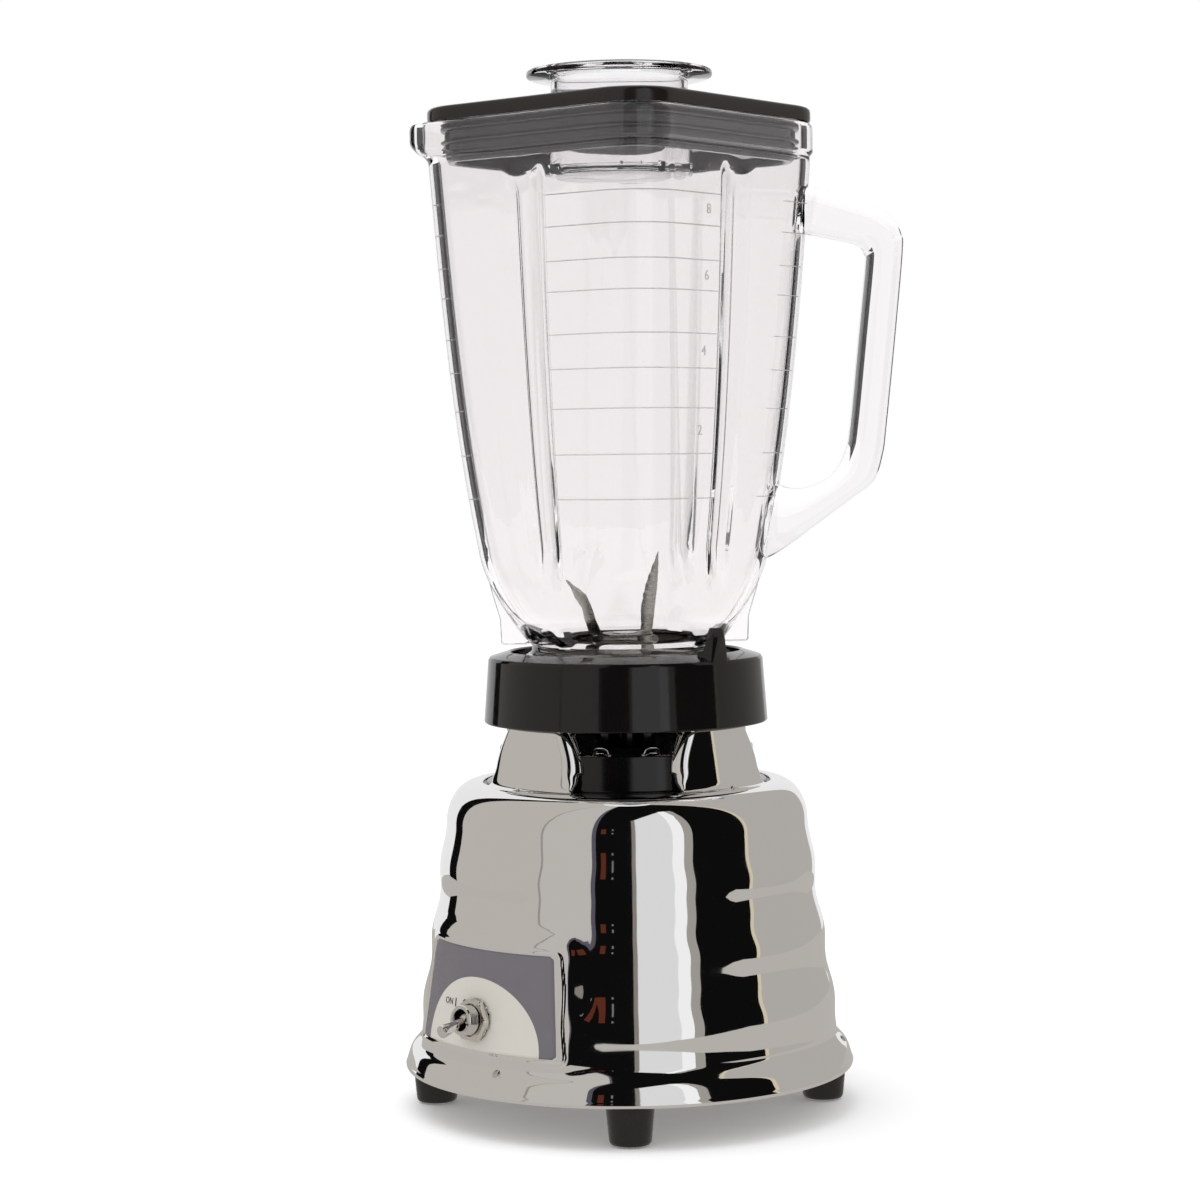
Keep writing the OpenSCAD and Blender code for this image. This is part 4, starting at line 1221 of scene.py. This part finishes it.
def card(name, start, end, colour, screen=SCREEN, tops=None, transmission=False):
    """An upright screen of studio, seen in reflections. Angles are from the camera's side.

    screen lists (radius, height) in metres. tops gives the height at the start and at the end,
    instead of screen's last one. With transmission, the glass sees the screen too.
    """
    count = max(2, int(abs(end - start) / 3))
    sheet = Sheet()
    lines = []
    for i, (radius, z) in enumerate(screen):
        ends = tops if tops and i == len(screen) - 1 else (z, z)
        shares = [k / count for k in range(count + 1)]
        lines.append([polar(radius / MM, CAMERA_SIDE + mix(start, end, k), mix(*ends, k) / MM)
                      for k in shares])
    sheet.loft(lines, closed=False)
    piece = new_object(name, sheet)
    piece.data.materials.append(glow(name, colour))
    return reflected_only(piece, transmission)


def make_studio():
    grey = (0.485, 0.462, 0.435)
    black = (0.004, 0.004, 0.004)
    white = (0.84, 0.84, 0.85)
    card("card_black_left", -136, -125, black)
    card("card_grey_left", -125, -54, grey)
    card("card_seam_left", -54, -52.6, (0.3, 0.285, 0.27))
    card("card_grey_centre", -52.6, -21.5, (0.5, 0.48, 0.455))
    card("card_dark_edge", -21.5, -19, (0.09, 0.085, 0.11))
    card("card_dark", -19, 40, black)
    card("card_black_right", 40, 76.5, black)
    card("card_warm_edge", 76.5, 79, (0.62, 0.56, 0.42))
    card("card_grey_right", 79, 152, (0.435, 0.415, 0.395))
    card("card_backdrop", 152, 224, white)
    for name, start, end in (("flag_left", -150, -112), ("flag_right", 112, 150)):
        flag = card(name, start, end, (0.03, 0.03, 0.032), ((1.3, 0.0), (1.3, 0.62)), transmission=True)
        flag.visible_glossy = False
    near = ((1.2, -0.65), (1.2, 1.0))
    card("softbox_edge", 2.6, 5, (0.23, 0.21, 0.19), near, (1.0, 1.05))
    card("softbox", 5, 27, (0.71, 0.72, 0.735), near, (1.05, 1.9))
    card("softbox_bright", 27, 34.5, (0.9, 0.91, 0.92), near, (1.9, 2.3))
    card("softbox_side", 34.5, 40, (0.34, 0.325, 0.3), near, (2.3, 2.45))
    card("equipment_box", -16, -13, (0.1, 0.025, 0.013), ((1.18, 0.3), (1.18, 0.5)))
    card("equipment_lamp_a", -9.4, -8.5, (0.2, 0.2, 0.22), ((1.18, 0.44), (1.18, 0.5)))
    card("equipment_lamp_b", -9.4, -8.5, (0.2, 0.2, 0.22), ((1.18, 0.3), (1.18, 0.35)))
    ceiling = Sheet()
    ceiling.loft([[(0, 0, 3400)], [polar(900, 10 * i, 3400) for i in range(36)]])
    ceiling = new_object("card_ceiling", ceiling)
    ceiling.data.materials.append(glow("card_ceiling", white))
    reflected_only(ceiling, False)

    pale = surface("studio_floor", (0.93, 0.93, 0.93), 0.0, 0.9, vary=0.01, grain=20, bump=0.01,
                   Emission_Color=(1, 1, 1, 1), Emission_Strength=0.12)
    floor = Sheet()
    floor.loft([[(0, 0, -0.6)], [polar(9000, 5 * i, -0.6) for i in range(72)]])
    floor = new_object("floor", floor)
    floor.data.materials.append(pale)
    floor.visible_glossy = False
    # The table, seen only in reflections: a glowing board whose even grey is painted shade, the table
    # darkened as if in the blender's own shadow
    front, side, back = 240, 500, 500
    table = Sheet()
    table.cap(table.ring([(front, -side, 0.2), (front, side, 0.2), (-back, side, 0.2), (-back, -side, 0.2)]))
    table.moved(Matrix.Rotation(math.radians(CAMERA_SIDE), 4, "Z"))
    table = new_object("table_top_painted_shade", table)
    table.data.materials.append(glow("table_painted_shade", (0.475, 0.453, 0.428)))
    reflected_only(table, False)

    world = bpy.data.worlds.new("studio")
    bpy.context.scene.world = world
    world.use_nodes = True
    background = world.node_tree.nodes["Background"]
    background.inputs["Color"].default_value = (1, 1, 1, 1)
    background.inputs["Strength"].default_value = 1.0
    light = bpy.data.lights.new("overhead", "AREA")
    light.shape = "DISK"
    light.size = 1.6
    light.energy = 12
    lamp = bpy.data.objects.new("overhead", light)
    bpy.context.scene.collection.objects.link(lamp)
    lamp.matrix_world = Matrix.Translation((-0.3, -0.5, 1.9)) @ Matrix.Rotation(math.radians(-14), 4, "X")
    lamp.visible_glossy = False
    lamp.visible_transmission = False
    bpy.context.scene.view_settings.view_transform = "Standard"


def make_camera():
    """A camera in front of one foot, a little above the middle of the blender."""
    distance, height = 1.055, 0.234
    aside, dip, roll = 0.487, 2.8, -0.636
    data = bpy.data.cameras.new("camera")
    data.lens = 87.4
    data.sensor_width = 36
    data.clip_start = 0.01
    camera = bpy.data.objects.new("camera", data)
    bpy.context.scene.collection.objects.link(camera)
    a = math.radians(CAMERA_SIDE)
    aim = (Matrix.Rotation(math.radians(CAMERA_SIDE + 90 + aside), 4, "Z")
           @ Matrix.Rotation(math.radians(90 - dip), 4, "X") @ Matrix.Rotation(math.radians(roll), 4, "Z"))
    camera.matrix_world = Matrix.Translation((distance * math.cos(a), distance * math.sin(a), height)) @ aim
    bpy.context.scene.camera = camera


make_camera()
make_studio()
make_housing()
make_label()
make_label_marks()
make_switch()
make_feet()
make_cover()
make_small_hardware()
make_collar()
make_hub()
make_blades()
make_jar()
make_graduations()
make_lid()
make_cap()
for node, finish in CAD_FINISH.items():
    for used in nodes[node].material_slots:
        used.material = finish
